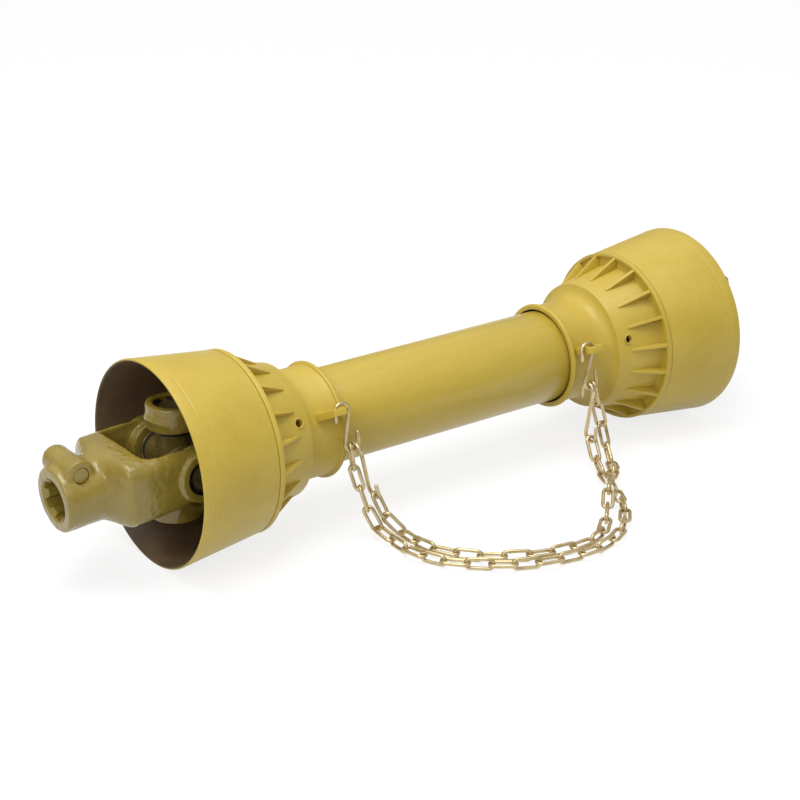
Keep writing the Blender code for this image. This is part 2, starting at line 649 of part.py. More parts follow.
def cross_parts(end, frame, swung, pivot, finishes):
    """The cross and, on each arm, its needle cup, seal and snap ring; Y arms ride in the end yoke."""
    tip = CUP_END - CUP_FLOOR - SEAT_GAP
    seat = CUP_END - CUP_LENGTH - SEAL_WIDTH - 2 * SEAT_GAP
    edge = TRUNNION_RADIUS / 12
    half = [(seat, CROSS_BODY_RADIUS), (seat, TRUNNION_RADIUS)]
    half += [(tip - edge, TRUNNION_RADIUS), (tip, TRUNNION_RADIUS - edge)]
    profile = [(-tip, 0), *((-x, r) for x, r in reversed(half)), *half, (tip, 0)]
    cross = add(f"cross_{end.name}", turned(profile, PIN_FACETS, hollow=False), finishes["forged"], swung, ALONG_Y)
    combine(cross, "UNION", turned(profile, PIN_FACETS, hollow=False), (0, math.pi / 2, 0))
    thread_hole = cylinder(NIPPLE_RADIUS / 2 + SEAT_GAP, CROSS_BODY_RADIUS / 2, 2 * CROSS_BODY_RADIUS, PIN_FACETS)
    combine(cross, "DIFFERENCE", thread_hole, ALONG_Y)

    inside = CROSS_BODY_RADIUS - NIPPLE_LENGTH / 3
    face = CROSS_BODY_RADIUS + SEAT_GAP
    nipple = [
        (inside, 0),
        (inside, NIPPLE_RADIUS / 2),
        (face, NIPPLE_RADIUS / 2),
        (face, NIPPLE_RADIUS),
        (face + NIPPLE_LENGTH / 3, NIPPLE_RADIUS),
        (face + NIPPLE_LENGTH / 2, NIPPLE_RADIUS / 2),
        (face + NIPPLE_LENGTH * 0.8, NIPPLE_RADIUS * 0.7),
        (face + NIPPLE_LENGTH, NIPPLE_RADIUS / 2),
        (face + NIPPLE_LENGTH, 0),
    ]
    fitting = turned(nipple, PIN_FACETS - 4, hollow=False)
    add(f"grease_nipple_{end.name}", fitting, finishes["steel"], swung, (0, 0, math.pi))

    arms = (
        ("near", pivot, (0, 0, -math.pi / 2)),
        ("far", pivot, (0, 0, math.pi / 2)),
        ("top", frame, (0, -math.pi / 2, 0)),
        ("bottom", frame, (0, math.pi / 2, 0)),
    )
    # Wide enough for a faceted trunnion to turn in its faceted cup.
    bore = (TRUNNION_RADIUS + SEAT_GAP) / math.cos(math.pi / PIN_FACETS)
    open_end = CUP_END - CUP_LENGTH
    chamfer = CUP_RADIUS / 15
    cup = [
        (CUP_END, 0),
        (CUP_END, CUP_RADIUS - chamfer),
        (CUP_END - chamfer, CUP_RADIUS),
        (open_end, CUP_RADIUS),
        (open_end, bore),
        (CUP_END - CUP_FLOOR, bore),
        (CUP_END - CUP_FLOOR, 0),
    ]
    seal_end = open_end - SEAT_GAP
    ring_outer = CUP_RADIUS + SNAP_RING_DEPTH - 2 * SEAT_GAP
    ring_start = CUP_END + SEAT_GAP
    for place, parent, turn in arms:
        tail = f"{end.name}_{place}"
        add(f"bearing_cup_{tail}", turned(cup, PIN_FACETS, hollow=False), finishes["steel"], parent, turn)
        seal = pipe(seal_end - SEAL_WIDTH, seal_end, CROSS_BODY_RADIUS, CROSS_BODY_RADIUS - bore, PIN_FACETS)
        add(f"bearing_seal_{tail}", seal, finishes["rubber"], parent, turn)
        inner = ring_outer - SNAP_RING_WIDTH
        ring_end = ring_start + SNAP_RING_THICKNESS
        ring = split_ring(ring_start, ring_end, inner, ring_outer, 2 * SNAP_RING_WIDTH, PIN_FACETS - 2)
        add(f"snap_ring_{tail}", ring, finishes["spring"], parent, turn)


def lobed(x, mean):
    """The profile tube's three-lobed section at x."""
    ring = []
    for i in range(PROFILE_POINTS):
        angle = math.tau * i / PROFILE_POINTS
        radius = mean + PROFILE_LOBE * math.cos(3 * angle)
        ring.append((x, radius * math.cos(angle), radius * math.sin(angle)))
    return ring


def profile_tube(name, x0, x1, mean, pin_x, finish, shaft):
    """A drawn three-lobed tube, drilled across for its spring pin."""
    tube = add(name, lofted([lobed(x0, mean), lobed(x1, mean)]), finish, shaft)
    longer = (x1 - x0) / 10
    bore = [lobed(x0 - longer, mean - PROFILE_WALL), lobed(x1 + longer, mean - PROFILE_WALL)]
    combine(tube, "DIFFERENCE", lofted(bore))
    drill = cylinder(SPRING_PIN_RADIUS + SEAT_GAP, -NECK_RADIUS, NECK_RADIUS, PIN_FACETS)
    bmesh.ops.rotate(drill, verts=drill.verts, cent=(0, 0, 0), matrix=Matrix.Rotation(math.pi / 2, 3, "Z"))
    bmesh.ops.translate(drill, verts=drill.verts, vec=(pin_x, 0, 0))
    combine(tube, "DIFFERENCE", drill)
    return tube


def tube_yoke(end, frame, mean, finishes):
    """The yoke on the sliding tube: its fork turned a quarter from the end yoke's, a grooved neck and a socket."""
    turn = (math.pi / 2, 0, math.pi)
    neck = superellipse(-NECK_END_X, NECK_RADIUS, NECK_RADIUS, 2)
    sections = [neck, *fork_sections(NECK_RADIUS, -SOCKET_START)]
    yoke = add(f"tube_yoke_{end.name}", lofted(sections), finishes["paint"], frame, turn)
    ear_work(yoke)
    groove_cut = 2 * NECK_RADIUS
    groove = pipe(-TUBE_SEAT_X, -RING_X, groove_cut, groove_cut - GROOVE_RADIUS, FORK_SECTION_POINTS)
    combine(yoke, "DIFFERENCE", groove)
    socket = [lobed(-2 * NECK_END_X, mean + SEAT_GAP), lobed(-SOCKET_START, mean + SEAT_GAP)]
    combine(yoke, "DIFFERENCE", lofted(socket), socket_turn(end))
    drill = cylinder(SPRING_PIN_RADIUS + SEAT_GAP, -2 * NECK_RADIUS, 2 * NECK_RADIUS, PIN_FACETS)
    bmesh.ops.rotate(drill, verts=drill.verts, cent=(0, 0, 0), matrix=Matrix.Rotation(math.pi / 2, 3, "Y"))
    bmesh.ops.translate(drill, verts=drill.verts, vec=(-SPRING_PIN_X, 0, 0))
    combine(yoke, "DIFFERENCE", drill)
    ear_bores(yoke)

    half = math.sqrt(NECK_RADIUS**2 - SPRING_PIN_RADIUS**2) - SEAT_GAP
    pin = split_ring(-half, half, SPRING_PIN_BORE, SPRING_PIN_RADIUS, SPRING_PIN_SLIT, PIN_FACETS - 1)
    bmesh.ops.rotate(pin, verts=pin.verts, cent=(0, 0, 0), matrix=Matrix.Rotation(math.pi / 2, 3, "Z"))
    bmesh.ops.translate(pin, verts=pin.verts, vec=(SPRING_PIN_X, 0, 0))
    add(f"spring_pin_{end.name}", pin, finishes["spring"], frame)


def socket_turn(end):
    """Brings the socket's lobes, in the turned yoke's frame, in line with the tubes' in the shaft's frame."""
    return (math.pi / 2 if end is LEFT else -math.pi / 2, 0, 0)


def s_hook(name, plane, top, shift, span, finish):
    """An S hook in a plane of sideways and downward directions, from its upper loop's centre to its lower one."""
    across, down = plane
    side = HOOK_LOOP_RADIUS
    outline = [(-side, HOOK_TIP), *arc((0, 0), side, 180, 360, HOOK_ARC_POINTS)]
    outline += [(x + shift, d + span) for x, d in arc((0, 0), side, 180, 0, HOOK_ARC_POINTS)]
    outline.append((shift + side, span - HOOK_TIP))
    points = [top + across * x + down * d for x, d in outline]
    return add(name, wire(name, points, HOOK_WIRE), finish)


def smooth_path(points, step):
    """Evenly spaced points on a smooth curve through the given ones."""
    ends = [points[0] * 2 - points[1], *points, points[-1] * 2 - points[-2]]
    fine = []
    for a, b, c, d in zip(ends, ends[1:], ends[2:], ends[3:]):
        for i in range(20):
            t = i / 20
            fine.append(
                0.5 * (2 * b + (c - a) * t + (2 * a - 5 * b + 4 * c - d) * t * t + (3 * b - a - 3 * c + d) * t**3)
            )
    fine.append(points[-1])
    lengths = [0.0]
    for before, after in zip(fine, fine[1:]):
        lengths.append(lengths[-1] + (after - before).length)
    count = max(2, round(lengths[-1] / step))
    even, j = [], 0
    for i in range(count + 1):
        wanted = lengths[-1] * i / count
        while j < len(fine) - 2 and lengths[j + 1] < wanted:
            j += 1
        part = (wanted - lengths[j]) / max(lengths[j + 1] - lengths[j], WELD)
        even.append(fine[j].lerp(fine[j + 1], min(part, 1.0)))
    return even, lengths[-1]


def link_outline(half_length):
    """A welded link's centre line: straight sides, and ends that are flat where the next link bears on them."""
    side = (LINK_WIDTH - LINK_WIRE) / 2
    turn_in = half_length - side * LINK_END_RUN
    flat = side * LINK_END_FLAT
    right = [(turn_in, -side), (half_length, -flat), (half_length, flat), (turn_in, side)]
    return right + [(-x, -y) for x, y in right]


def chain_strand(name, route, finish):
    """A run of welded links, each a quarter turn from the last, fused where they bear on each other."""
    path, length = smooth_path(route, MM)
    overrun = LINK_WIRE - LINK_BITE
    count = 2 * round(((length - overrun) / LINK_PITCH - 1) / 2) + 1
    pitch = (length - overrun) / count
    spacing = length / (len(path) - 1)
    bearings = [path[round((overrun / 2 + pitch * number) / spacing)] for number in range(count + 1)]
    sets = ([], [])
    for number, (behind, ahead) in enumerate(zip(bearings, bearings[1:])):
        reach = ((ahead - behind).length + overrun) / 2
        along = (ahead - behind).normalized()
        flat = Vector((0, 0, 1)) - along * along.z
        flat.normalize()
        sideways = along.cross(flat) if number % 2 == 0 else flat
        centre = (ahead + behind) / 2
        sets[number % 2].append([centre + along * x + sideways * y for x, y in link_outline(reach)])
    meshes = []
    for part, runs in zip(("even", "odd"), sets):
        helper = bpy.data.objects.new(f"{name}_{part}", wire(f"{name}_{part}", runs, LINK_WIRE, closed=True))
        bpy.context.scene.collection.objects.link(helper)
        bpy.context.view_layer.update()
        meshes.append(bpy.data.meshes.new_from_object(helper.evaluated_get(bpy.context.evaluated_depsgraph_get())))
        bpy.data.objects.remove(helper, do_unlink=True)
    strand = add(name, meshes[0], finish)
    combine(strand, "UNION", meshes[1])
    print(f"{name}: {count} links at {pitch / MM:.2f} mm, {length / MM:.0f} mm between the hooks")


def lug_hole_place(end):
    """The middle of a chain lug's hole in the world."""
    x = end.side * (CROSS_X - end.collar_end + LUG_HOLE_SETBACK)
    return Vector((
        x,
        -LUG_HOLE_HEIGHT * math.cos(end.lug_angle),
        AXIS_Z + LUG_HOLE_HEIGHT * math.sin(end.lug_angle),
    ))


def chains(finish):
    """Two chains, each hooked into one guard's lug and hung by its other hook on the other chain's lug hook."""
    side = HOOK_LOOP_RADIUS
    across = Vector((1, 0, 0))
    down = Vector((0, -math.sin(LUG_HOOK_TILT), -math.cos(LUG_HOOK_TILT)))
    # How far a lug hook's centre sits below the fin when its arch rests on the edges of the lug's web.
    web = LUG_HOLE_RADIUS + LUG_WEB - side
    crown = math.sqrt((side - HOOK_WIRE / 2) ** 2 - web**2) - 2 * SEAT_GAP
    nests = {}
    for end in (LEFT, RIGHT):
        hole = lug_hole_place(end)
        fin_top = LUG_THICKNESS / 2 / math.cos(end.lug_angle - LUG_HOOK_TILT)
        top = hole - across * (end.side * side) + down * (crown - fin_top)
        s_hook(f"lug_hook_{end.name}", (across, down), top, end.hook_shift, LUG_HOOK_SPAN, finish)
        nests[end.name] = top + across * end.hook_shift + down * LUG_HOOK_SPAN

    # Two wires lie side by side in each lug hook's lower loop: a link hook and the first link of a chain.
    bed = side - HOOK_WIRE - SEAT_GAP
    apart, under = bed * 0.78, bed * 0.62
    backward = Vector((0, -1, 0))
    ends = {}
    for end, lean in ((LEFT, Vector((0.32, 0, -0.947))), (RIGHT, Vector((-0.02, 0, -1)))):
        lean.normalize()
        nest = nests[end.name] + down * under
        hook_at = nest - across * (end.side * apart)
        link_at = nest + across * (end.side * apart)
        top = hook_at + lean * side
        s_hook(f"link_hook_{end.name}", (backward, lean), top, LINK_HOOK_SHIFT, LINK_HOOK_SPAN, finish)
        sunk = LINK_HOOK_SPAN + side - HOOK_WIRE / 2 - LINK_WIRE / 2 - 2 * SEAT_GAP
        low = top + backward * LINK_HOOK_SHIFT + lean * sunk
        ends[end.name] = (link_at, low)

    first = [
        (-128.3, -60, 60), (-125.5, -65.5, 44), (-122, -67.5, 31), (-118, -69.5, 17.5), (-114, -77.5, 8),
        (-113.5, -92, 6.2), (-114, -113, 6.2), (-111, -131, 6.2), (-103, -150, 6.2), (-88, -167, 6.2), (-70, -182, 6.2),
        (-52, -194, 6.2), (-30, -201.5, 6.2), (-3, -207, 6.2), (20, -206, 6.2), (48, -196, 6.2),
        (78, -170, 6.2), (97, -139, 6.2), (111, -110, 6.4), (121, -86, 8),
    ]
    second = [
        (-107.3, -76.5, 18.5), (-100, -83, 8), (-98.5, -93, 6.3), (-99.5, -107, 6.2), (-97, -123, 6.2),
        (-90.5, -139, 6.2), (-79, -155, 6.2), (-63, -169.5, 6.2), (-45, -181, 6.2), (-23, -189.5, 6.2),
        (0, -193.8, 6.2), (21, -193, 6.2), (42, -183, 6.4), (66, -160, 10), (88, -137, 19.5),
        (112, -116, 17), (129, -97, 9), (139, -80, 9.5), (142, -70, 24), (140.5, -64.5, 43), (137, -61.8, 60),
    ]
    left_link, left_low = ends["left"]
    right_link, right_low = ends["right"]
    for name, start, route, stop in (
        ("chain_strand_one", left_link, first, right_low),
        ("chain_strand_two", left_low, second, right_link),
    ):
        chain_strand(name, [start, *(Vector(point) * MM for point in route), stop], finish)


def main_parts():
    yellow = material("guard_yellow", (0.66, 0.50, 0.12), 0.45, 0.0)
    finishes = {
        "paint": material("yoke_paint", (0.30, 0.23, 0.045), 0.30, 0.2),
        "forged": material("forged_steel", (0.20, 0.17, 0.08), 0.45, 0.6),
        "steel": material("bright_steel", (0.45, 0.43, 0.38), 0.35, 0.9),
        "spring": material("spring_steel", (0.16, 0.15, 0.13), 0.40, 0.9),
        "rubber": material("seal_rubber", (0.02, 0.02, 0.02), 0.60, 0.0),
        "nylon": material("bearing_nylon", (0.75, 0.72, 0.62), 0.50, 0.0),
        "tube": material("drawn_steel", (0.30, 0.29, 0.27), 0.40, 0.9),
        "zinc": material("yellow_zinc", (0.62, 0.52, 0.30), 0.35, 0.9),
    }
    shaft = empty("shaft_axis", (0, 0, AXIS_Z), (0, 0, 0))
    inner_mean = PROFILE_MEAN_RADIUS - PROFILE_WALL - SLIDE_FIT
    for end, mean in ((LEFT, PROFILE_MEAN_RADIUS), (RIGHT, inner_mean)):
        turn = (0, 0, 0 if end is LEFT else math.pi)
        frame = empty(f"joint_{end.name}", (end.side * CROSS_X, 0, AXIS_Z), turn)
        swung = empty(f"cross_turn_{end.name}", (0, 0, 0), (0, 0, end.swing), frame)
        pivot = empty(f"yoke_pivot_{end.name}", (0, 0, 0), (0, -end.droop, 0), swung)
        guard_bell(end, frame, yellow)
        guard_cone(end, frame, yellow)
        ring_inner = GROOVE_RADIUS + 2 * SEAT_GAP
        ring = split_ring(
            RING_X + SEAT_GAP, TUBE_SEAT_X - SEAT_GAP, ring_inner, GUARD_TUBE_RADIUS, SLIDE_RING_SLIT, RING_FACETS
        )
        add(f"slide_ring_{end.name}", ring, finishes["nylon"], frame)
        end_yoke(end, pivot, finishes["paint"])
        lock_parts(end, pivot, finishes["paint"], finishes["spring"])
        cross_parts(end, frame, swung, pivot, finishes)
        tube_yoke(end, frame, mean, finishes)

    seat = CROSS_X - TUBE_SEAT_X - SEAT_GAP
    outer_guard = pipe(-seat, OUTER_GUARD_END, GUARD_TUBE_RADIUS, GUARD_TUBE_WALL, GUARD_FACETS)
    add("guard_tube_outer", outer_guard, yellow, shaft)
    inner_guard = pipe(INNER_GUARD_END, seat, INNER_GUARD_RADIUS, GUARD_TUBE_WALL, GUARD_FACETS)
    add("guard_tube_inner", inner_guard, yellow, shaft)
    root = CROSS_X - SOCKET_START - SEAT_GAP
    pin = CROSS_X - SPRING_PIN_X
    profile_tube("profile_tube_outer", -root, OUTER_PROFILE_END, PROFILE_MEAN_RADIUS, -pin, finishes["tube"], shaft)
    profile_tube("profile_tube_inner", INNER_PROFILE_END, root, inner_mean, pin, finishes["tube"], shaft)
    chains(finishes["zinc"])


clear_scene()
main_parts()
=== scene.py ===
import math

import bmesh
import bpy
from mathutils import Matrix, Vector


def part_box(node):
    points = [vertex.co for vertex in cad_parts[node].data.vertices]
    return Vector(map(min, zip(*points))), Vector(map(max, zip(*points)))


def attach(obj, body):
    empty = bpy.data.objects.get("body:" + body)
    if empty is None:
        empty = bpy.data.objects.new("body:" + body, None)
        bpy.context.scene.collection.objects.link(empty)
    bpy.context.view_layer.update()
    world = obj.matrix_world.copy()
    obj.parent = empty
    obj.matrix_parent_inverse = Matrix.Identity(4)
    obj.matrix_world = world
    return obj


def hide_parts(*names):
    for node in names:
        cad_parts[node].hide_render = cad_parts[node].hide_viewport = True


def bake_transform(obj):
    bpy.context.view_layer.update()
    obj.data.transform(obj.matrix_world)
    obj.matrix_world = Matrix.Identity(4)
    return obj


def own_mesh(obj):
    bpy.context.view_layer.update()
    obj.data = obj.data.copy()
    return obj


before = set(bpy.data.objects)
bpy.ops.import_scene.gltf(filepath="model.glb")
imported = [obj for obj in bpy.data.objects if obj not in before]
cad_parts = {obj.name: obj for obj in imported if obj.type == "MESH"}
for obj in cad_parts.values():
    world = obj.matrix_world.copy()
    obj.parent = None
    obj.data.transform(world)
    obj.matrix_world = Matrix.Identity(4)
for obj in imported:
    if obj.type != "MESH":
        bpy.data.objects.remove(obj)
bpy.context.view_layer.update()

# Profile tubes: two drawn steel tubes of a rounded three-lobed section, one sliding in the other and
# turning it. They stay hidden in the guard, so the CAD nodes are kept, with a drawn and oiled finish.
MM = 0.001


class Field:
    """A shader socket, so that a material reads as arithmetic: each operator adds one Math node."""

    def __init__(self, tree, socket=None):
        self.tree, self.socket = tree, socket

    def feed(self, socket, value):
        """Links a field to a socket, or sets the socket to a plain value."""
        if isinstance(value, Field):
            self.tree.links.new(value.socket, socket)
        else:
            socket.default_value = value

    def fill(self, shader, **inputs):
        """Feeds a node's sockets by their names."""
        for name, value in inputs.items():
            wanted = name.replace("_", " ")
            self.feed(next(item for item in shader.inputs if item.name == wanted and item.enabled), value)

    def node(self, kind, settings=None, output=0, **inputs):
        """Adds any other node: its settings and ramp stops first, then its sockets."""
        made = self.tree.nodes.new("ShaderNode" + kind)
        for key, value in (settings or {}).items():
            if key == "stops":
                ramp = made.color_ramp.elements
                ramp.remove(ramp[-1])
                ramp[0].position, ramp[0].color = value[0][0], (*value[0][1], 1)
                for place, colour in value[1:]:
                    ramp.new(place).color = (*colour, 1)
            else:
                setattr(made, key, value)
        self.fill(made, **inputs)
        return Field(self.tree, made.outputs[output])

    def maths(self, operation, *values):
        """Adds the Math node of one operator."""
        made = self.tree.nodes.new("ShaderNodeMath")
        made.operation = operation
        for socket, value in zip(made.inputs, values):
            self.feed(socket, value)
        return Field(self.tree, made.outputs[0])

    def __add__(self, other):
        return self.maths("ADD", self, other)

    def __mul__(self, other):
        return self.maths("MULTIPLY", self, other)

    __radd__, __rmul__ = __add__, __mul__


def surface(name, shades, patch, gloss, relief, metallic=0.0, coat=0.0, stretch=(1, 1, 1)):
    """A material of mottled shades: patch is the mottling's size, gloss the least and most roughness,
    and relief the depth and size of the bumps in its skin."""
    made = bpy.data.materials.new(name)
    made.use_nodes = True
    tree = made.node_tree
    blank = Field(tree)
    place = blank.node("TexCoord", output=3)
    drawn = blank.node("Mapping", Vector=place, Scale=stretch)
    broad = blank.node("TexNoise", Vector=drawn, Scale=1 / patch, Detail=4.0, Roughness=0.55)
    fine = blank.node("TexNoise", Vector=drawn, Scale=9 / patch, Detail=3.0, Roughness=0.6)
    depth, size = relief
    skin = blank.node("TexNoise", Vector=place, Scale=1 / size, Detail=3.0, Roughness=0.5)
    least, most = gloss
    blank.fill(
        tree.nodes["Principled BSDF"],
        Base_Color=blank.node("ValToRGB", {"stops": shades}, Fac=broad * 0.72 + fine * 0.28),
        Roughness=(fine + broad) * ((most - least) / 2) + least,
        Metallic=metallic,
        Coat_Weight=coat,
        Coat_Roughness=0.12,
        Normal=blank.node("Bump", Height=skin, Distance=depth, Strength=0.8),
    )
    return made


def kept(node, finish):
    """A CAD node that is shown as it is, in a finish."""
    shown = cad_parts[node]
    shown.data.materials.clear()
    shown.data.materials.append(finish)


drawn_steel = surface(
    "drawn_steel", [(0.3, (0.20, 0.19, 0.17)), (0.7, (0.34, 0.33, 0.30))],
    patch=20 * MM, gloss=(0.28, 0.5), relief=(0.04 * MM, 2 * MM), metallic=1.0, stretch=(0.08, 1, 1),
)
for node in ("profile_tube_outer", "profile_tube_inner"):
    kept(node, drawn_steel)


# Tube yokes: forged steel forks, each pressed on its profile tube, with a groove in the neck for the
# slide ring. The groove, the tube's socket and the two cup bores are machined in the rough forging.
SHAFT = {"left": "shaft_outer", "right": "shaft_inner"}
CUP_END, CUP_RADIUS = 46 * MM, 15.1 * MM
BORE_CLEAR, SNAP_GROOVE_DEPTH, SNAP_GROOVE_WIDTH = 0.25 * MM, 1.4 * MM, 2.1 * MM
EAR_FLANK, EAR_TIP, EAR_WALL = 46.5 * MM, 25 * MM, 10 * MM
EAR_ROOT_X, EAR_ROOT_HALF = -24 * MM, 28.3 * MM
EAR_SQUARENESS, TIP_SQUARENESS, TIP_TAPER = 4.6, 4, 6 * MM
BOSS_FROM, BOSS_TO, BOSS_RADIUS = 28.5 * MM, 50 * MM, 22 * MM
FORK_HALF_HEIGHT, FLARE_LENGTH = 30 * MM, 14 * MM
VALLEY_DEPTH, VALLEY_CORNER = 48 * MM, 11 * MM
NECK_FROM, NECK_MIDDLE, NECK_TO, NECK_RADIUS = -117.8 * MM, -90 * MM, -62 * MM, 33 * MM
GROOVE_FROM, GROOVE_TO, GROOVE_FLOOR = -113 * MM, -99.3 * MM, 30 * MM
SOCKET_RADIUS = 26.8 * MM
ROUND, RING_POINTS = 2, 72

# Where each joint's pieces stand: on the shaft, on the swung cross, and on the yoke that droops from it.
stand, swung, pivot = {}, {}, {}
for side, turn, swing, droop in (("left", 0, 0, 4.2), ("right", 180, 20, 6)):
    low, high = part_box(f"cross_{side}")
    stand[side] = Matrix.Translation((low + high) / 2) @ Matrix.Rotation(math.radians(turn), 4, "Z")
    swung[side] = stand[side] @ Matrix.Rotation(math.radians(swing), 4, "Z")
    pivot[side] = swung[side] @ Matrix.Rotation(math.radians(-droop), 4, "Y")


def welded(bm):
    bmesh.ops.remove_doubles(bm, verts=bm.verts, dist=1e-6)
    bmesh.ops.recalc_face_normals(bm, faces=bm.faces)
    return bm


def spun(profile, steps, hollow=True, sweep=math.tau):
    """A body turned about X from (x, radius) points: a closed section, or a solid from axis to axis."""
    bm = bmesh.new()
    points = [bm.verts.new((x, r, 0)) for x, r in profile]
    edges = [bm.edges.new(pair) for pair in zip(points, points[1:])]
    section = points + edges
    if hollow:
        section.append(bm.edges.new((points[-1], points[0])))
    if sweep < math.tau:
        section.append(bm.faces.new(points))
    bmesh.ops.spin(
        bm, geom=section, cent=(0, 0, 0), axis=(1, 0, 0), angle=sweep, steps=steps,
        use_merge=sweep == math.tau,
    )
    return welded(bm)


def rod(start, end, radius, steps):
    """A plain round bar along X."""
    return spun([(start, 0), (start, radius), (end, radius), (end, 0)], steps, hollow=False)


def sleeve(start, end, inner, outer, steps):
    """A plain round tube along X."""
    return spun([(start, inner), (start, outer), (end, outer), (end, inner)], steps)


def both_ways(half, end):
    """A solid's profile that runs alike to both sides of the middle."""
    return [(-end, 0), *((-x, r) for x, r in reversed(half)), *half, (end, 0)]


def softened(bm, width, segments=2):
    """Rounds every edge that is sharper than the turning's own facets."""
    sharp = [
        edge for edge in bm.edges
        if len(edge.link_faces) == 2 and edge.calc_face_angle() > math.radians(28)
    ]
    bmesh.ops.bevel(
        bm, geom=sharp, offset=width, offset_type="OFFSET", segments=segments, profile=0.5, affect="EDGES",
        clamp_overlap=True, material=-1,
    )
    return welded(bm)


def arc(x, y, radius, first, last, count):
    angles = [math.radians(first + (last - first) * i / (count - 1)) for i in range(count)]
    return [(x + radius * math.cos(a), y + radius * math.sin(a)) for a in angles]


def oval(x, half_y, half_z, power):
    """A ring at x that runs from an ellipse, at power 2, towards a rectangle with round corners."""
    points = []
    for i in range(RING_POINTS):
        c, s = math.cos(math.tau * i / RING_POINTS), math.sin(math.tau * i / RING_POINTS)
        y, z = abs(c) ** (2 / power) * half_y, abs(s) ** (2 / power) * half_z
        points.append((x, math.copysign(y, c), math.copysign(z, s)))
    return points


def lofted(sections):
    """A closed body through rings of equal point counts."""
    bm = bmesh.new()
    rings = [[bm.verts.new(point) for point in section] for section in sections]
    loops = []
    for ring in rings:
        loops.append([bm.edges.new(pair) for pair in zip(ring, ring[1:] + ring[:1])])
    for before, after in zip(loops, loops[1:]):
        bmesh.ops.bridge_loops(bm, edges=before + after)
    for ring in (rings[0], rings[-1]):
        bm.faces.new(ring)
    return welded(bm)


def extruded(outline, depth):
    bm = bmesh.new()
    face = bm.faces.new([bm.verts.new(point) for point in outline])
    grown = bmesh.ops.extrude_face_region(bm, geom=[face])["geom"]
    far = [item for item in grown if isinstance(item, bmesh.types.BMVert)]
    bmesh.ops.translate(bm, verts=far, vec=depth)
    return welded(bm)


def moved(bm, matrix):
    bmesh.ops.transform(bm, matrix=matrix, verts=bm.verts)
    return bm


def joined(*bodies):
    """Several closed bodies in one mesh."""
    whole = bmesh.new()
    for bm in bodies:
        part = bpy.data.meshes.new("part")
        bm.to_mesh(part)
        bm.free()
        whole.from_mesh(part)
        bpy.data.meshes.remove(part)
    return whole


def helper(bm):
    """A passing object, for modifiers to work on or with."""
    data = bpy.data.meshes.new("helper")
    bm.to_mesh(data)
    bm.free()
    made = bpy.data.objects.new("helper", data)
    bpy.context.scene.collection.objects.link(made)
    return made


def worked(bm, *steps):
    """Puts a body through modifiers, each a type and its settings, and reads the result back."""
    body = helper(bm)
    tools = []
    for kind, settings in steps:
        modifier = body.modifiers.new(kind, kind)
        for key, value in settings.items():
            if isinstance(value, bmesh.types.BMesh):
                value = helper(value)
                tools.append(value)
            setattr(modifier, key, value)
    bpy.context.view_layer.update()
    data = bpy.data.meshes.new_from_object(body.evaluated_get(bpy.context.evaluated_depsgraph_get()))
    result = bmesh.new()
    result.from_mesh(data)
    for spent in (body, *tools):
        bpy.data.objects.remove(spent, do_unlink=True)
    return result


def cut(tool, solver="MANIFOLD"):
    return "BOOLEAN", {"operation": "DIFFERENCE", "object": tool, "solver": solver}


def piece(name, bm, finishes, body, slot, *nodes):
    """Turns a body into a shown piece that rides on a CAD body and stands for CAD nodes."""
    data = bpy.data.meshes.new(name)
    bm.to_mesh(data)
    bm.free()
    for finish in finishes:
        data.materials.append(finish)
    data.shade_smooth()
    data.set_sharp_from_angle(angle=math.radians(38))
    made = bpy.data.objects.new(name, data)
    bpy.context.scene.collection.objects.link(made)
    if body:
        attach(made, body)
    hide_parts(*nodes)
    return made


def fork(neck_radius, neck_x, tail):
    """The forging from its round neck to the ear tips: a block with a valley, and a boss on each ear."""
    sections = list(tail)
    for i in range(9):
        share = i / 8
        spread = share * share * (3 - 2 * share)
        half_y = neck_radius + spread * (EAR_FLANK - neck_radius)
        half_z = neck_radius + spread * (FORK_HALF_HEIGHT - neck_radius)
        sections.append(oval(neck_x + share * FLARE_LENGTH, half_y, half_z, ROUND + 2.2 * share**1.5))
    sections.append(oval(EAR_ROOT_X, EAR_FLANK, EAR_ROOT_HALF, EAR_SQUARENESS))
    sections.append(oval(0, EAR_FLANK, EAR_TIP, EAR_SQUARENESS))
    for share in (0.25, 0.45, 0.62, 0.76, 0.87, 0.95):
        height = EAR_TIP * math.sqrt(1 - share * share)
        sections.append(oval(share * EAR_TIP, EAR_FLANK - TIP_TAPER * share**3, height, TIP_SQUARENESS))
    half, clear = EAR_FLANK - EAR_WALL, 60 * MM
    corner_x, corner_y = VALLEY_CORNER - VALLEY_DEPTH, half - VALLEY_CORNER
    valley = arc(corner_x, corner_y, VALLEY_CORNER, 90, 180, 12)
    valley += arc(corner_x, -corner_y, VALLEY_CORNER, 180, 270, 12)
    valley += [(clear, -half), (clear, half)]
    valley_cutter = extruded([(x, y, -clear) for x, y in valley], (0, 0, 2 * clear))
    block = worked(lofted(sections), cut(valley_cutter, "EXACT"))
    bosses = []
    for angle in (90, -90):
        boss = rod(BOSS_FROM, BOSS_TO, BOSS_RADIUS, 64)
        bosses.append(moved(boss, Matrix.Rotation(math.radians(angle), 4, "Z")))
    return joined(block, *bosses)


def forged(shape, voxel, *tools):
    """Melts joined bodies into one rough forging with soft edges, then machines it with each tool."""
    skin = bpy.data.textures.new("forging_skin", "CLOUDS")
    skin.noise_scale = 9 * MM
    rough = worked(
        shape,
        ("REMESH", {"mode": "VOXEL", "voxel_size": voxel}),
        ("SMOOTH", {"factor": 0.5, "iterations": 20}),
        ("DISPLACE", {"texture": skin, "strength": 0.9 * MM, "mid_level": 0.5}),
    )
    return worked(rough, *(cut(tool) for tool in tools))


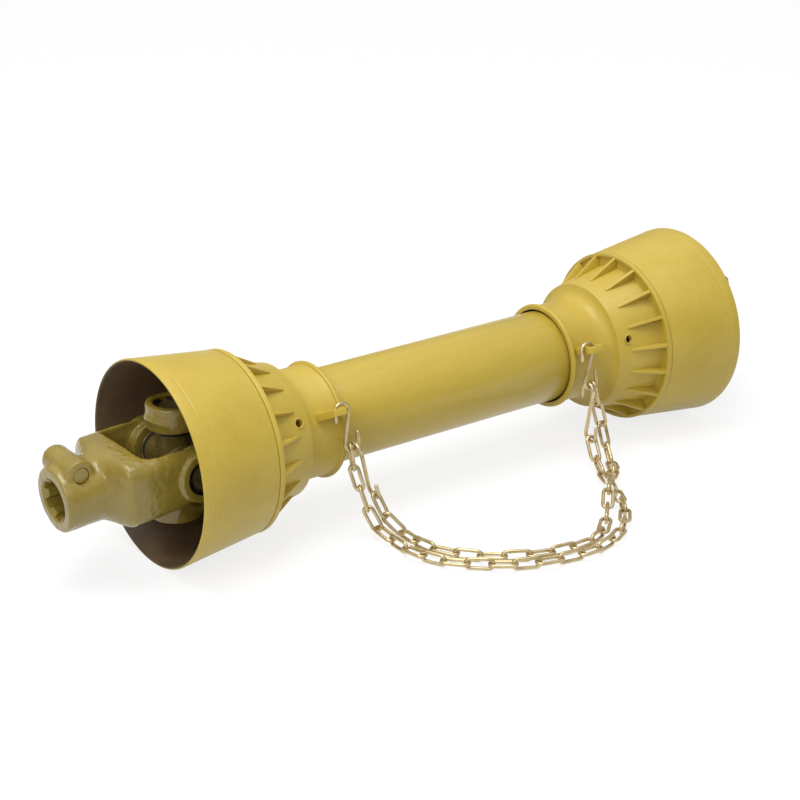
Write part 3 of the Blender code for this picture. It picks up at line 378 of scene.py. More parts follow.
def ear_bores():
    """The cutter for both cup bores, with their snap-ring grooves and the lead-in at the boss's face."""
    bore, groove = CUP_RADIUS + BORE_CLEAR, CUP_RADIUS + SNAP_GROOVE_DEPTH
    groove_end, lead, reach = CUP_END + SNAP_GROOVE_WIDTH, 2 * MM, 70 * MM
    half = [(CUP_END, bore), (CUP_END, groove), (groove_end, groove), (groove_end, bore)]
    half += [(BOSS_TO - lead / 2, bore), (BOSS_TO + lead / 2, bore + lead), (reach, bore + lead)]
    return moved(spun(both_ways(half, reach), 72, hollow=False), Matrix.Rotation(math.pi / 2, 4, "Z"))


yoke_paint = surface(
    "yoke_paint", [(0.3, (0.24, 0.17, 0.022)), (0.5, (0.285, 0.205, 0.03)), (0.75, (0.33, 0.245, 0.045))],
    patch=30 * MM, gloss=(0.2, 0.32), relief=(0.8 * MM, 5.5 * MM), coat=0.3,
)
for side, shaft in SHAFT.items():
    ring_groove = sleeve(GROOVE_FROM, GROOVE_TO, GROOVE_FLOOR, 60 * MM, 72)
    socket = rod(-200 * MM, NECK_TO, SOCKET_RADIUS, 72)
    tail = [oval(x, NECK_RADIUS, NECK_RADIUS, ROUND) for x in (NECK_FROM, NECK_MIDDLE)]
    body = forged(fork(NECK_RADIUS, NECK_TO, tail), 1.0 * MM, ear_bores(), ring_groove, socket)
    turned_over = Matrix.Rotation(math.pi, 4, "Z") @ Matrix.Rotation(math.pi / 2, 4, "X")
    piece(
        f"tube_yoke_{side}_forging", moved(body, stand[side] @ turned_over), [yoke_paint], shaft,
        "yoke_paint", f"tube_yoke_{side}",
    )


# Spring pins: slit tubes of spring steel, driven through each tube yoke's neck and its profile tube so
# that neither can slip off. They sit inside the guard, so the CAD nodes are kept.
spring_steel = surface(
    "spring_steel", [(0.3, (0.07, 0.065, 0.06)), (0.7, (0.16, 0.15, 0.14))],
    patch=6 * MM, gloss=(0.3, 0.5), relief=(0.03 * MM, 1 * MM), metallic=1.0,
)
for side in ("left", "right"):
    kept(f"spring_pin_{side}", spring_steel)


# Crosses: forged and ground steel, four trunnions on one body, with a grease nipple screwed into the
# middle. Each trunnion turns in a needle cup, and a film of the yokes' paint dulls what is left bare.
TRUNNION_SEAT, TRUNNION_TIP, TRUNNION_RADIUS = 23.8 * MM, 43.3 * MM, 11 * MM
TRUNNION_EDGE = 1 * MM
CROSS_BODY_RADIUS = 14.5 * MM

forged_steel = surface(
    "forged_steel", [(0.3, (0.13, 0.095, 0.02)), (0.7, (0.21, 0.155, 0.035))],
    patch=12 * MM, gloss=(0.25, 0.45), relief=(0.3 * MM, 3 * MM), metallic=0.2,
)
bright_steel = surface(
    "bright_steel", [(0.3, (0.20, 0.155, 0.05)), (0.7, (0.33, 0.27, 0.12))],
    patch=8 * MM, gloss=(0.22, 0.42), relief=(0.05 * MM, 1 * MM), metallic=0.6,
)
trunnion = [
    (TRUNNION_SEAT, CROSS_BODY_RADIUS), (TRUNNION_SEAT, TRUNNION_RADIUS),
    (TRUNNION_TIP - TRUNNION_EDGE, TRUNNION_RADIUS), (TRUNNION_TIP, TRUNNION_RADIUS - TRUNNION_EDGE),
]
nipple_profile = [
    (x * MM, r * MM) for x, r in (
        (11, 0), (11, 1.7), (14.8, 1.7), (14.8, 3.4), (18.1, 3.4), (18.6, 2.6), (19.8, 1.7), (21.4, 1.7),
        (22.4, 2.4), (23.6, 2.3), (24.7, 1.6), (24.8, 0.5), (24.3, 0),
    )
]
for side in ("left", "right"):
    arms = []
    for axis in ("Z", "Y"):
        arm = spun(both_ways(trunnion, TRUNNION_TIP), 64, hollow=False)
        arms.append(moved(arm, Matrix.Rotation(math.pi / 2, 4, axis)))
    block = worked(
        joined(*arms),
        ("REMESH", {"mode": "VOXEL", "voxel_size": 0.7 * MM}),
        ("SMOOTH", {"factor": 0.5, "iterations": 3}),
    )
    piece(
        f"cross_{side}_forging", moved(block, swung[side]), [forged_steel], f"cross_{side}", "forged_steel",
        f"cross_{side}",
    )
    nipple = moved(spun(nipple_profile, 32, hollow=False), swung[side] @ Matrix.Rotation(math.pi, 4, "Z"))
    piece(
        f"grease_nipple_{side}_turning", nipple, [bright_steel], f"cross_{side}", "bright_steel",
        f"grease_nipple_{side}",
    )


# Bearing cups: drawn steel cups full of needles, pressed into the ears, each with a rubber seal behind
# it and a split snap ring in front that keeps it in its bore.
CUP_MOUTH, CUP_FLOOR, CUP_BORE = 27 * MM, 43.6 * MM, 11.7 * MM
DIMPLE_DEPTH, DIMPLE_FLOOR, DIMPLE_RADIUS = 0.8 * MM, 6 * MM, 7.5 * MM
SEAL_FROM, SEAL_TO = 24.1 * MM, 26.7 * MM
SNAP_FROM, SNAP_THICKNESS = CUP_END + 0.3 * MM, 1.5 * MM
SNAP_OUTER, SNAP_WIDTH = CUP_RADIUS + 0.5 * MM, 3.6 * MM
SNAP_SLIT = 7.2 * MM / SNAP_OUTER

seal_rubber = surface(
    "seal_rubber", [(0.3, (0.012, 0.012, 0.012)), (0.7, (0.03, 0.03, 0.028))],
    patch=6 * MM, gloss=(0.5, 0.75), relief=(0.05 * MM, 1 * MM),
)
cup_profile = [
    (CUP_END - DIMPLE_DEPTH, 0), (CUP_END - DIMPLE_DEPTH, DIMPLE_FLOOR), (CUP_END, DIMPLE_RADIUS),
    (CUP_END, CUP_RADIUS), (CUP_MOUTH, CUP_RADIUS), (CUP_MOUTH, CUP_BORE),
    (CUP_FLOOR, CUP_BORE), (CUP_FLOOR, 0),
]
snap_profile = [
    (SNAP_FROM, SNAP_OUTER - SNAP_WIDTH), (SNAP_FROM + SNAP_THICKNESS, SNAP_OUTER - SNAP_WIDTH),
    (SNAP_FROM + SNAP_THICKNESS, SNAP_OUTER), (SNAP_FROM, SNAP_OUTER),
]
for side, shaft in SHAFT.items():
    for place, hold, body, axis, angle in (
        ("near", pivot, f"end_yoke_{side}", "Z", -90),
        ("far", pivot, f"end_yoke_{side}", "Z", 90),
        ("top", stand, shaft, "Y", -90),
        ("bottom", stand, shaft, "Y", 90),
    ):
        at = hold[side] @ Matrix.Rotation(math.radians(angle), 4, axis)
        opened = at @ Matrix.Rotation(SNAP_SLIT / 2, 4, "X")
        cup = softened(spun(cup_profile, 64, hollow=False), 0.7 * MM, 3)
        seal = softened(sleeve(SEAL_FROM, SEAL_TO, CUP_BORE, CROSS_BODY_RADIUS, 64), 0.6 * MM)
        snap = softened(spun(snap_profile, 48, sweep=math.tau - SNAP_SLIT), 0.25 * MM)
        for node, work, shape, matrix, finish, slot in (
            (f"bearing_cup_{side}_{place}", "drawing", cup, at, bright_steel, "bright_steel"),
            (f"bearing_seal_{side}_{place}", "moulding", seal, at, seal_rubber, "seal_rubber"),
            (f"snap_ring_{side}_{place}", "stamping", snap, opened, spring_steel, "spring_steel"),
        ):
            piece(f"{node}_{work}", moved(shape, matrix), [finish], body, slot, node)


# End yokes: forged like the tube yokes and painted, with a round hub that slides on a six-spline
# shaft. The splined bore, its chamfer and the lock pin's bore are broached and drilled afterwards.
HUB_FACE, HUB_LENGTH, HUB_RADIUS, HUB_EDGE = -111 * MM, 34 * MM, 27.4 * MM, 1.6 * MM
SPLINES, SPLINE_HALF = 6, 4.35 * MM
SPLINE_MINOR, SPLINE_MAJOR, SPLINE_MOUTH = 14.9 * MM, 17.5 * MM, 18.9 * MM
PIN_AT = Matrix.Translation((-93 * MM, 0, 22.5 * MM)) @ Matrix.Rotation(math.pi / 2, 4, "Z")
PIN_NEAR, PIN_FAR, PIN_BOSS_RADIUS = -18.5 * MM, 25.5 * MM, 12 * MM
PIN_BORE, CHAMBER_FROM, CHAMBER_RADIUS = 6.95 * MM, -4 * MM, 8.9 * MM
RETAINER_FROM, RETAINER_TO, RETAINER_RADIUS = 15.1 * MM, 17.7 * MM, 9.9 * MM


def spline_bore():
    """The broach: a minor circle with six straight-sided slots."""
    outline, half_pitch = [], math.pi / SPLINES
    inner, outer = math.asin(SPLINE_HALF / SPLINE_MINOR), math.asin(SPLINE_HALF / SPLINE_MAJOR)
    for number in range(SPLINES):
        middle = math.tau * (number + 0.5) / SPLINES
        polar = [(SPLINE_MINOR, middle - half_pitch + (half_pitch - inner) * i / 3) for i in range(4)]
        polar += [(SPLINE_MAJOR, middle - outer + outer * i / 2) for i in range(5)]
        polar += [(SPLINE_MINOR, middle + inner + (half_pitch - inner) * i / 3) for i in range(3)]
        outline += [(-200 * MM, r * math.cos(a), r * math.sin(a)) for r, a in polar]
    return extruded(outline, (190 * MM, 0, 0))


drill_end = 50 * MM
pin_bore_profile = [
    (-drill_end, 0), (-drill_end, PIN_BORE), (CHAMBER_FROM, PIN_BORE), (CHAMBER_FROM, CHAMBER_RADIUS),
    (RETAINER_FROM, CHAMBER_RADIUS), (RETAINER_FROM, RETAINER_RADIUS),
    (RETAINER_TO, RETAINER_RADIUS), (RETAINER_TO, CHAMBER_RADIUS),
    (drill_end, CHAMBER_RADIUS), (drill_end, 0),
]
chamfer_profile = [
    (HUB_FACE - SPLINE_MOUTH, 0), (HUB_FACE - SPLINE_MOUTH, 2 * SPLINE_MOUTH), (HUB_FACE + SPLINE_MOUTH, 0),
]
for side in ("left", "right"):
    tail = [
        oval(HUB_FACE, HUB_RADIUS - HUB_EDGE, HUB_RADIUS - HUB_EDGE, ROUND),
        oval(HUB_FACE + HUB_EDGE, HUB_RADIUS, HUB_RADIUS, ROUND),
    ]
    boss = rod(PIN_NEAR, PIN_FAR, PIN_BOSS_RADIUS, 64)
    shape = joined(fork(HUB_RADIUS, HUB_FACE + HUB_LENGTH, tail), moved(boss, PIN_AT))
    chamfer = spun(chamfer_profile, 72, hollow=False)
    pin_bore = moved(spun(pin_bore_profile, 64, hollow=False), PIN_AT)
    body = forged(shape, 0.9 * MM, ear_bores(), spline_bore(), chamfer, pin_bore)
    piece(
        f"end_yoke_{side}_forging", moved(body, pivot[side]), [yoke_paint], f"end_yoke_{side}", "yoke_paint",
        f"end_yoke_{side}",
    )


# Lock pins: turned steel push pins across each hub, painted with it. A waist lets the splined shaft in
# when the pin is pressed against its coil spring, and a retaining ring keeps both in the boss.
PIN_SHANK, PIN_WAIST, PIN_FLANGE, PIN_BUTTON = 6.6 * MM, 5.2 * MM, 8.6 * MM, 6 * MM
PIN_WAIST_FROM, PIN_FLANGE_FROM, PIN_FLANGE_TO, PIN_END = 5 * MM, 11.6 * MM, 14.9 * MM, 28 * MM
SPRING_FROM, SPRING_TO = -3.7 * MM, 11.3 * MM
SPRING_WIRE, SPRING_RADIUS = 1.2 * MM, 7.8 * MM
SPRING_TURNS, TURN_STEPS = 4, 28


def wire_body(points, thickness, closed=False):
    """A round wire along points, with domed ends where it is open."""
    radius = thickness / 2
    rows = [(point, 1.0) for point in points]
    if not closed:
        ends = []
        for tip, inward in ((points[0], points[1] - points[0]), (points[-1], points[-2] - points[-1])):
            inward = inward.normalized() * radius
            ends.append([
                (tip + inward * depth, math.sqrt(1 - (1 - depth) ** 2)) for depth in (0.03, 0.2, 0.5, 1)
            ])
        rows = ends[0] + rows[1:-1] + ends[1][::-1]
    curve = bpy.data.curves.new("wire", "CURVE")
    curve.dimensions = "3D"
    curve.bevel_depth = radius
    curve.bevel_resolution = 4
    curve.use_fill_caps = True
    spline = curve.splines.new("POLY")
    spline.points.add(len(rows) - 1)
    for place, (point, share) in zip(spline.points, rows):
        place.co = (*point, 1.0)
        place.radius = share
    spline.use_cyclic_u = closed
    shown = bpy.data.objects.new("wire", curve)
    bpy.context.scene.collection.objects.link(shown)
    bpy.context.view_layer.update()
    data = bpy.data.meshes.new_from_object(shown.evaluated_get(bpy.context.evaluated_depsgraph_get()))
    bpy.data.objects.remove(shown, do_unlink=True)
    result = bmesh.new()
    result.from_mesh(data)
    return welded(result)


pin_profile = [
    (PIN_NEAR, 0), (PIN_NEAR, PIN_SHANK), (PIN_WAIST_FROM, PIN_SHANK), (PIN_WAIST_FROM, PIN_WAIST),
    (PIN_FLANGE_FROM, PIN_WAIST), (PIN_FLANGE_FROM, PIN_FLANGE),
    (PIN_FLANGE_TO, PIN_FLANGE), (PIN_FLANGE_TO, PIN_BUTTON), (PIN_END, PIN_BUTTON), (PIN_END, 0),
]
for side in ("left", "right"):
    at = pivot[side] @ PIN_AT
    pin = softened(spun(pin_profile, 64, hollow=False), 0.8 * MM, 3)
    piece(
        f"lock_pin_{side}_turning", moved(pin, at), [yoke_paint], f"lock_pin_{side}", "yoke_paint",
        f"lock_pin_{side}",
    )
    helix = []
    for i in range(SPRING_TURNS * TURN_STEPS + 1):
        angle, share = math.tau * i / TURN_STEPS, i / (SPRING_TURNS * TURN_STEPS)
        along = SPRING_FROM + SPRING_WIRE / 2 + (SPRING_TO - SPRING_FROM - SPRING_WIRE) * share
        helix.append(at @ Vector((along, SPRING_RADIUS * math.cos(angle), SPRING_RADIUS * math.sin(angle))))
    spring = piece(
        f"lock_spring_{side}_coil", wire_body(helix, SPRING_WIRE), [spring_steel], f"end_yoke_{side}",
        "spring_steel", f"lock_spring_{side}",
    )
    fixed = at @ Vector((SPRING_FROM, 0, 0))
    (at @ Vector((SPRING_TO, 0, 0))) - fixed
    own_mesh(spring)
    kept(f"lock_retainer_{side}", spring_steel)


# Slide rings: split nylon rings in the groove of each tube yoke's neck. The guard hangs on them, so it
# can stand still while the shaft turns. The collars cover them, so the CAD nodes are kept.
bearing_nylon = surface(
    "bearing_nylon", [(0.3, (0.62, 0.58, 0.47)), (0.7, (0.76, 0.72, 0.61))],
    patch=10 * MM, gloss=(0.35, 0.55), relief=(0.04 * MM, 1 * MM),
)
for side in ("left", "right"):
    kept(f"slide_ring_{side}", bearing_nylon)


# Guard tubes: two extruded plastic tubes, the inner sliding in the outer as the shaft changes length.
# Each is cut square and pressed into its own cone's collar.
OUTER_TUBE_RADIUS, INNER_TUBE_RADIUS, TUBE_WALL = 41.6 * MM, 38.3 * MM, 2.5 * MM

guard_plastic = surface(
    "guard_plastic", [(0.3, (0.49, 0.35, 0.04)), (0.5, (0.545, 0.395, 0.048)), (0.75, (0.59, 0.44, 0.075))],
    patch=45 * MM, gloss=(0.36, 0.52), relief=(0.12 * MM, 2.2 * MM), coat=0.05,
)
guard_extrusion = surface(
    "guard_extrusion", [(0.3, (0.48, 0.345, 0.04)), (0.5, (0.52, 0.38, 0.046)), (0.75, (0.56, 0.42, 0.065))],
    patch=30 * MM, gloss=(0.26, 0.38), relief=(0.1 * MM, 5 * MM), coat=0.1, stretch=(0.16, 1, 1),
)
tube_middle = sum(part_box("guard_tube_outer"), Vector()) / 2
for tube, radius in (("outer", OUTER_TUBE_RADIUS), ("inner", INNER_TUBE_RADIUS)):
    low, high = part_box(f"guard_tube_{tube}")
    body = softened(sleeve(low.x, high.x, radius - TUBE_WALL, radius, 144), 0.4 * MM)
    piece(
        f"guard_tube_{tube}_extrusion", moved(body, Matrix.Translation((0, 0, tube_middle.z))),
        [guard_extrusion], f"guard_{tube}", "guard_plastic", f"guard_tube_{tube}",
    )


# Guard cones: injection mouldings, a flange with a raised rim, a ribbed cone, a shoulder and a collar
# round the tube. The chain's lug stands on the collar, and a hole in the cone lets a grease gun in.
GUARD = {"left": "guard_outer", "right": "guard_inner"}
FLANGE_X, FLANGE_BACK, FLANGE_RADIUS, FLANGE_WELL = 51.8 * MM, 56.3 * MM, 78.7 * MM, 75.5 * MM
SPIGOT_X, SPIGOT_INNER, SPIGOT_OUTER = 43.8 * MM, 72.8 * MM, 75.8 * MM
BASE_X, BASE_RADIUS = 54 * MM, 66.5 * MM
SHOULDER_X, SHOULDER_RADIUS = 97.3 * MM, 58 * MM
CAVITY_X, CAVITY_RADIUS, CAVITY_MOUTH = 94.3 * MM, 55 * MM, 63.5 * MM
COLLAR_START, COLLAR_END = -GROOVE_TO, {"left": 137.5 * MM, "right": 143.5 * MM}
SEAT_FROM, SEAT_TO, SEAT_CLEAR = 112.9 * MM, 125.9 * MM, 0.3 * MM
TUBE_POCKET_RADIUS, BEAD_LENGTH = 43 * MM, 4.5 * MM
HOLE_X, HOLE_RADIUS = 86.3 * MM, 3.3 * MM
HOLE_RING_HEIGHT, HOLE_RING_RADIUS, HOLE_RING_ROUND = 60.1 * MM, 4.1 * MM, 0.75 * MM
RIB_FROM, RIB_TO, RIB_HALF, RIB_TAPER = 53 * MM, BASE_X + 31 * MM, 1.6 * MM, 0.15
LUG_TOP, LUG_LENGTH, LUG_HALF, LUG_ROOT = 67.5 * MM, 22.5 * MM, 3.2 * MM, 1.5 * MM
LUG_INSET, LUG_CORNER, LUG_HEEL_X, LUG_HEEL = 5.2 * MM, 5 * MM, 14 * MM, 2 * MM
LUG_HOLE_INSET, LUG_HOLE_HEIGHT, LUG_HOLE_RADIUS = 15 * MM, 59.5 * MM, 4.2 * MM
LUG_ANGLE = {"left": 26.5, "right": 20}

# The insides of the cones and bells are coloured dark brown: painted shade, standing in for the shade in
# their hollows.
guard_painted_shade = surface(
    "guard_painted_shade", [(0.3, (0.075, 0.044, 0.018)), (0.5, (0.11, 0.066, 0.026)), (0.72, (0.16, 0.10, 0.04))],
    patch=30 * MM, gloss=(0.45, 0.65), relief=(0.1 * MM, 2 * MM),
)


def with_painted_shade(bm, upto):
    """Gives the second finish, a painted shade, to the faces that look in at the axis, up to a place or under
    the cone.
    """
    for face in bm.faces:
        middle = face.calc_center_median()
        inward = face.normal.y * middle.y + face.normal.z * middle.z < -0.2 * middle.yz.length
        if inward and (middle.x < upto or middle.yz.length < BASE_RADIUS):
            face.material_index = 1
    return bm


def rib(angle):
    """One tapered gusset between the flange's rim and the cone."""
    slope = (BASE_RADIUS - SHOULDER_RADIUS) / (SHOULDER_X - FLANGE_X)
    foot = BASE_RADIUS - slope * 33 * MM
    outline = [
        (RIB_FROM, 64.6 * MM), (RIB_FROM, 77.2 * MM), (RIB_FROM + 3 * MM, 77 * MM),
        (RIB_TO, foot + 0.9 * MM), (RIB_TO, foot - 1.6 * MM),
    ]
    bm = extruded([(x, r, -RIB_HALF) for x, r in outline], (0, 0, 2 * RIB_HALF))
    for vert in bm.verts:
        vert.co.z *= 1 - RIB_TAPER * (vert.co.x - RIB_FROM) / (RIB_TO - RIB_FROM)
    return moved(softened(bm, 0.45 * MM), Matrix.Rotation(angle, 4, "X"))


outer_seat, inner_seat = OUTER_TUBE_RADIUS + SEAT_CLEAR, INNER_TUBE_RADIUS + SEAT_CLEAR
for side, collar, bead, ring_stop, lug_turn in (
    ("left", 48 * MM, 51 * MM, 40.5 * MM, 180 - LUG_ANGLE["left"]),
    ("right", 45.4 * MM, 48 * MM, 39 * MM, LUG_ANGLE["right"]),
):
    collar_end, fillet, edge = COLLAR_END[side], SHOULDER_RADIUS - collar, (bead - collar) * 0.8
    profile = [
        (FLANGE_X, FLANGE_RADIUS), (FLANGE_BACK, FLANGE_RADIUS), (FLANGE_BACK, FLANGE_WELL),
        (BASE_X, FLANGE_WELL), (BASE_X, BASE_RADIUS),
        *arc(SHOULDER_X + fillet, SHOULDER_RADIUS, fillet, 180, 270, 12),
        (collar_end - BEAD_LENGTH - edge / 2, collar),
        *arc(collar_end - BEAD_LENGTH + edge, bead - edge, edge, 180, 90, 6),
        *arc(collar_end - edge, bead - edge, edge, 90, 0, 6),
    ]
    if side == "left":
        profile.append((collar_end, outer_seat))
    else:
        profile += [
            (collar_end, TUBE_POCKET_RADIUS), (SEAT_TO, TUBE_POCKET_RADIUS), (SEAT_TO, inner_seat),
            (SEAT_FROM, inner_seat), (SEAT_FROM, outer_seat),
        ]
    profile += [
        (COLLAR_START, outer_seat), (COLLAR_START, ring_stop), (CAVITY_X, ring_stop),
        (CAVITY_X, CAVITY_RADIUS), (FLANGE_X, CAVITY_MOUTH), (FLANGE_X, SPIGOT_INNER),
        (SPIGOT_X, SPIGOT_INNER), (SPIGOT_X, SPIGOT_OUTER), (FLANGE_X, SPIGOT_OUTER),
    ]
    towards = math.radians(lug_turn)
    facing = Matrix.Rotation(towards, 4, "X")
    outward = facing @ Matrix.Translation((HOLE_X, 0, 0)) @ Matrix.Rotation(math.pi / 2, 4, "Z")
    drill = moved(rod(30 * MM, 80 * MM, HOLE_RADIUS, 32), outward)
    shell = worked(softened(spun(profile, 144), 0.5 * MM), cut(drill, "EXACT"))
    hole_ring = spun(arc(HOLE_RING_HEIGHT, HOLE_RING_RADIUS, HOLE_RING_ROUND, 0, 330, 12), 32)

    free_end = collar_end - LUG_INSET
    outline = [(free_end - LUG_LENGTH, collar - LUG_ROOT), (free_end, collar - LUG_ROOT)]
    outline += arc(free_end - LUG_CORNER, LUG_TOP - LUG_CORNER, LUG_CORNER, 0, 90, 8)
    outline += arc(free_end - LUG_HEEL_X, LUG_TOP - LUG_HEEL, LUG_HEEL, 90, 130, 4)
    lug = softened(extruded([(x, r, -LUG_HALF) for x, r in outline], (0, 0, 2 * LUG_HALF)), 0.8 * MM, 3)
    hole_at = Matrix.Translation((collar_end - LUG_HOLE_INSET, LUG_HOLE_HEIGHT, 0))
    lug_drill = rod(-10 * MM, 10 * MM, LUG_HOLE_RADIUS, 48)
    lug = worked(lug, cut(moved(lug_drill, hole_at @ Matrix.Rotation(math.pi / 2, 4, "Y")), "EXACT"))
    ribs = [rib(towards + math.radians(10 + 20 * number)) for number in range(18)]
    # The shell's inward faces take the painted shade.
    whole = joined(with_painted_shade(shell, FLANGE_X), moved(hole_ring, outward), moved(lug, facing), *ribs)
    piece(
        f"guard_cone_{side}_moulding", moved(whole, stand[side]), [guard_plastic, guard_painted_shade], GUARD[side],
        "guard_plastic", f"guard_cone_{side}",
    )


# Guard bells: drafted plastic shells round the joints, widest at the open rim, pushed over the cone's
# spigot. A fine mould line runs round each one a finger's breadth from its rim.
RIM_X, BACK_X, BELL_WALL = -25 * MM, 51.5 * MM, 2.6 * MM
RIM_RADIUS, BACK_RADIUS = 88 * MM, 78.7 * MM
MOULD_LINE_X, MOULD_LINE_DEPTH = RIM_X + 11 * MM, 0.3 * MM


def drafted(x, depth=0.0):
    """A profile point at x on the bell's drafted outside, or a depth under it."""
    slope = (RIM_RADIUS - BACK_RADIUS) / (BACK_X - RIM_X)
    return x, RIM_RADIUS - slope * (x - RIM_X) - depth


bell_profile = [
    (RIM_X, RIM_RADIUS - 1.3 * MM), (RIM_X + 0.4 * MM, RIM_RADIUS - 0.4 * MM), drafted(RIM_X + 1.3 * MM),
    drafted(MOULD_LINE_X - 1.5 * MM), drafted(MOULD_LINE_X - 0.5 * MM),
    drafted(MOULD_LINE_X, MOULD_LINE_DEPTH),
    drafted(MOULD_LINE_X + 0.5 * MM), drafted(MOULD_LINE_X + 1.5 * MM),
    drafted(BACK_X - 1.5 * MM), (BACK_X - 0.4 * MM, BACK_RADIUS - 0.3 * MM),
    (BACK_X, BACK_RADIUS - 1.2 * MM), (BACK_X, BACK_RADIUS - BELL_WALL),
    drafted(RIM_X + 1.3 * MM, BELL_WALL), (RIM_X + 0.4 * MM, RIM_RADIUS - 2.2 * MM),
]
for side, guard in GUARD.items():
    # The shell's inward faces take the painted shade.
    shell = with_painted_shade(spun(bell_profile, 160), BACK_X)
    piece(
        f"guard_bell_{side}_moulding", moved(shell, stand[side]), [guard_plastic, guard_painted_shade], guard,
        "guard_plastic", f"guard_bell_{side}",
    )


# Chain hooks: S hooks bent from zinc-plated wire. One hangs in each lug, and its lower loop holds the
# first link of one chain beside a second hook, on which the other chain ends.
HOOK_WIRE, HOOK_LOOP, HOOK_TAIL = 3.5 * MM, 6.75 * MM, 9 * MM
HOOK_TILT = math.radians(10)
LUG_HOOK_SPAN, LINK_HOOK_SPAN, LINK_HOOK_SHIFT = 28 * MM, 40 * MM, 6.4 * MM
LINK_WIRE, WIRE_GAP = 3.2 * MM, 0.6 * MM
BED_ACROSS, BED_DOWN = 0.78, 0.62

chain_zinc = surface(
    "chain_zinc", [(0.28, (0.40, 0.30, 0.13)), (0.5, (0.62, 0.50, 0.28)), (0.75, (0.76, 0.66, 0.44))],
    patch=12 * MM, gloss=(0.24, 0.44), relief=(0.06 * MM, 1.5 * MM), metallic=0.85,
)
across, down = Vector((1, 0, 0)), Vector((0, -math.sin(HOOK_TILT), -math.cos(HOOK_TILT)))
backward = Vector((0, -1, 0))


def s_hook(sideways, downward, top, shift, span):
    """The wire of an S hook, from its upper loop's centre to its lower one."""
    outline = [(-HOOK_LOOP, HOOK_TAIL), *arc(0, 0, HOOK_LOOP, 180, 360, 20)]
    outline += arc(shift, span, HOOK_LOOP, 180, 0, 20) + [(shift + HOOK_LOOP, span - HOOK_TAIL)]
    return wire_body([top + sideways * x + downward * d for x, d in outline], HOOK_WIRE)


web = LUG_HOLE_INSET - LUG_INSET - HOOK_LOOP
crown = math.sqrt((HOOK_LOOP - HOOK_WIRE / 2) ** 2 - web**2) - WIRE_GAP
bed = HOOK_LOOP - HOOK_WIRE - WIRE_GAP / 2
link_end, low_end = {}, {}
for side, way, shift, lean in (
    ("left", -1, 6.4 * MM, Vector((0.32, 0, -0.947))),
    ("right", 1, 0.5 * MM, Vector((-0.02, 0, -1))),
):
    guard, angle, centre = GUARD[side], math.radians(LUG_ANGLE[side]), stand[side].translation
    hole = Vector((
        centre.x - way * (COLLAR_END[side] - LUG_HOLE_INSET),
        -LUG_HOLE_HEIGHT * math.cos(angle),
        centre.z + LUG_HOLE_HEIGHT * math.sin(angle),
    ))
    top = hole - across * (way * HOOK_LOOP) + down * (crown - LUG_HALF / math.cos(angle - HOOK_TILT))
    piece(
        f"lug_hook_{side}_wire", s_hook(across, down, top, shift, LUG_HOOK_SPAN), [chain_zinc], guard,
        "chain_zinc", f"lug_hook_{side}",
    )
    nest = top + across * shift + down * (LUG_HOOK_SPAN + bed * BED_DOWN)
    lean.normalize()
    link_end[side] = nest + across * (way * bed * BED_ACROSS)
    top = nest - across * (way * bed * BED_ACROSS) + lean * HOOK_LOOP
    piece(
        f"link_hook_{side}_wire", s_hook(backward, lean, top, LINK_HOOK_SHIFT, LINK_HOOK_SPAN), [chain_zinc],
        guard, "chain_zinc", f"link_hook_{side}",
    )
    hang = LINK_HOOK_SPAN + HOOK_LOOP - (HOOK_WIRE + LINK_WIRE) / 2 - WIRE_GAP
    low_end[side] = top + backward * LINK_HOOK_SHIFT + lean * hang


# Guard chains: two strands of welded zinc-plated links lying on the floor, each link a quarter turn
# from the last. In use they tie the guard to the machine, so that it can't turn with the shaft.
LINK_SIDE, LINK_PITCH, LINK_OVERRUN = 4.2 * MM, 20.3 * MM, 2.3 * MM


def smooth_path(points):
    """Points a millimetre apart on a smooth curve through the given ones, and its length."""
    ends = [points[0] * 2 - points[1], *points, points[-1] * 2 - points[-2]]
    fine = []
    for a, b, c, d in zip(ends, ends[1:], ends[2:], ends[3:]):
        for t in (i / 20 for i in range(20)):
            bend = (2 * a - 5 * b + 4 * c - d) * t * t + (3 * b - a - 3 * c + d) * t**3
            fine.append(0.5 * (2 * b + (c - a) * t + bend))
    fine.append(points[-1])
    lengths = [0.0]
    for before, after in zip(fine, fine[1:]):
        lengths.append(lengths[-1] + (after - before).length)
    count, even, j = round(lengths[-1] / MM), [], 0
    for i in range(count + 1):
        wanted = lengths[-1] * i / count
        while j < len(fine) - 2 and lengths[j + 1] < wanted:
            j += 1
        share = (wanted - lengths[j]) / max(lengths[j + 1] - lengths[j], 1e-9)
        even.append(fine[j].lerp(fine[j + 1], min(share, 1.0)))
    return even, lengths[-1]


def eased(share):
    """Where along a blend its smooth weight reaches a share."""
    return 0.5 - math.sin(math.asin(1 - 2 * share) / 3)


first_route = [
    (-128.3, -60, 60), (-125.5, -65.5, 44), (-122, -67.5, 31), (-118, -69.5, 17.5), (-114, -77.5, 8),
    (-113.5, -92, 6.2), (-114, -113, 6.2), (-111, -131, 6.2), (-103, -150, 6.2), (-88, -167, 6.2),
    (-70, -182, 6.2), (-52, -194, 6.2), (-30, -201.5, 6.2), (-3, -207, 6.2), (20, -206, 6.2), (48, -196, 6.2),
    (78, -170, 6.2), (97, -139, 6.2), (111, -110, 6.4), (121, -86, 8),
]
second_route = [
    (-107.3, -76.5, 18.5), (-100, -83, 8), (-98.5, -93, 6.3), (-99.5, -107, 6.2), (-97, -123, 6.2),
    (-90.5, -139, 6.2), (-79, -155, 6.2), (-63, -169.5, 6.2), (-45, -181, 6.2), (-23, -189.5, 6.2),
    (0, -193.8, 6.2), (21, -193, 6.2), (42, -183, 6.4), (66, -160, 10), (88, -137, 19.5), (112, -116, 17),
    (129, -97, 9), (139, -80, 9.5), (142, -70, 24), (140.5, -64.5, 43), (137, -61.8, 60),
]
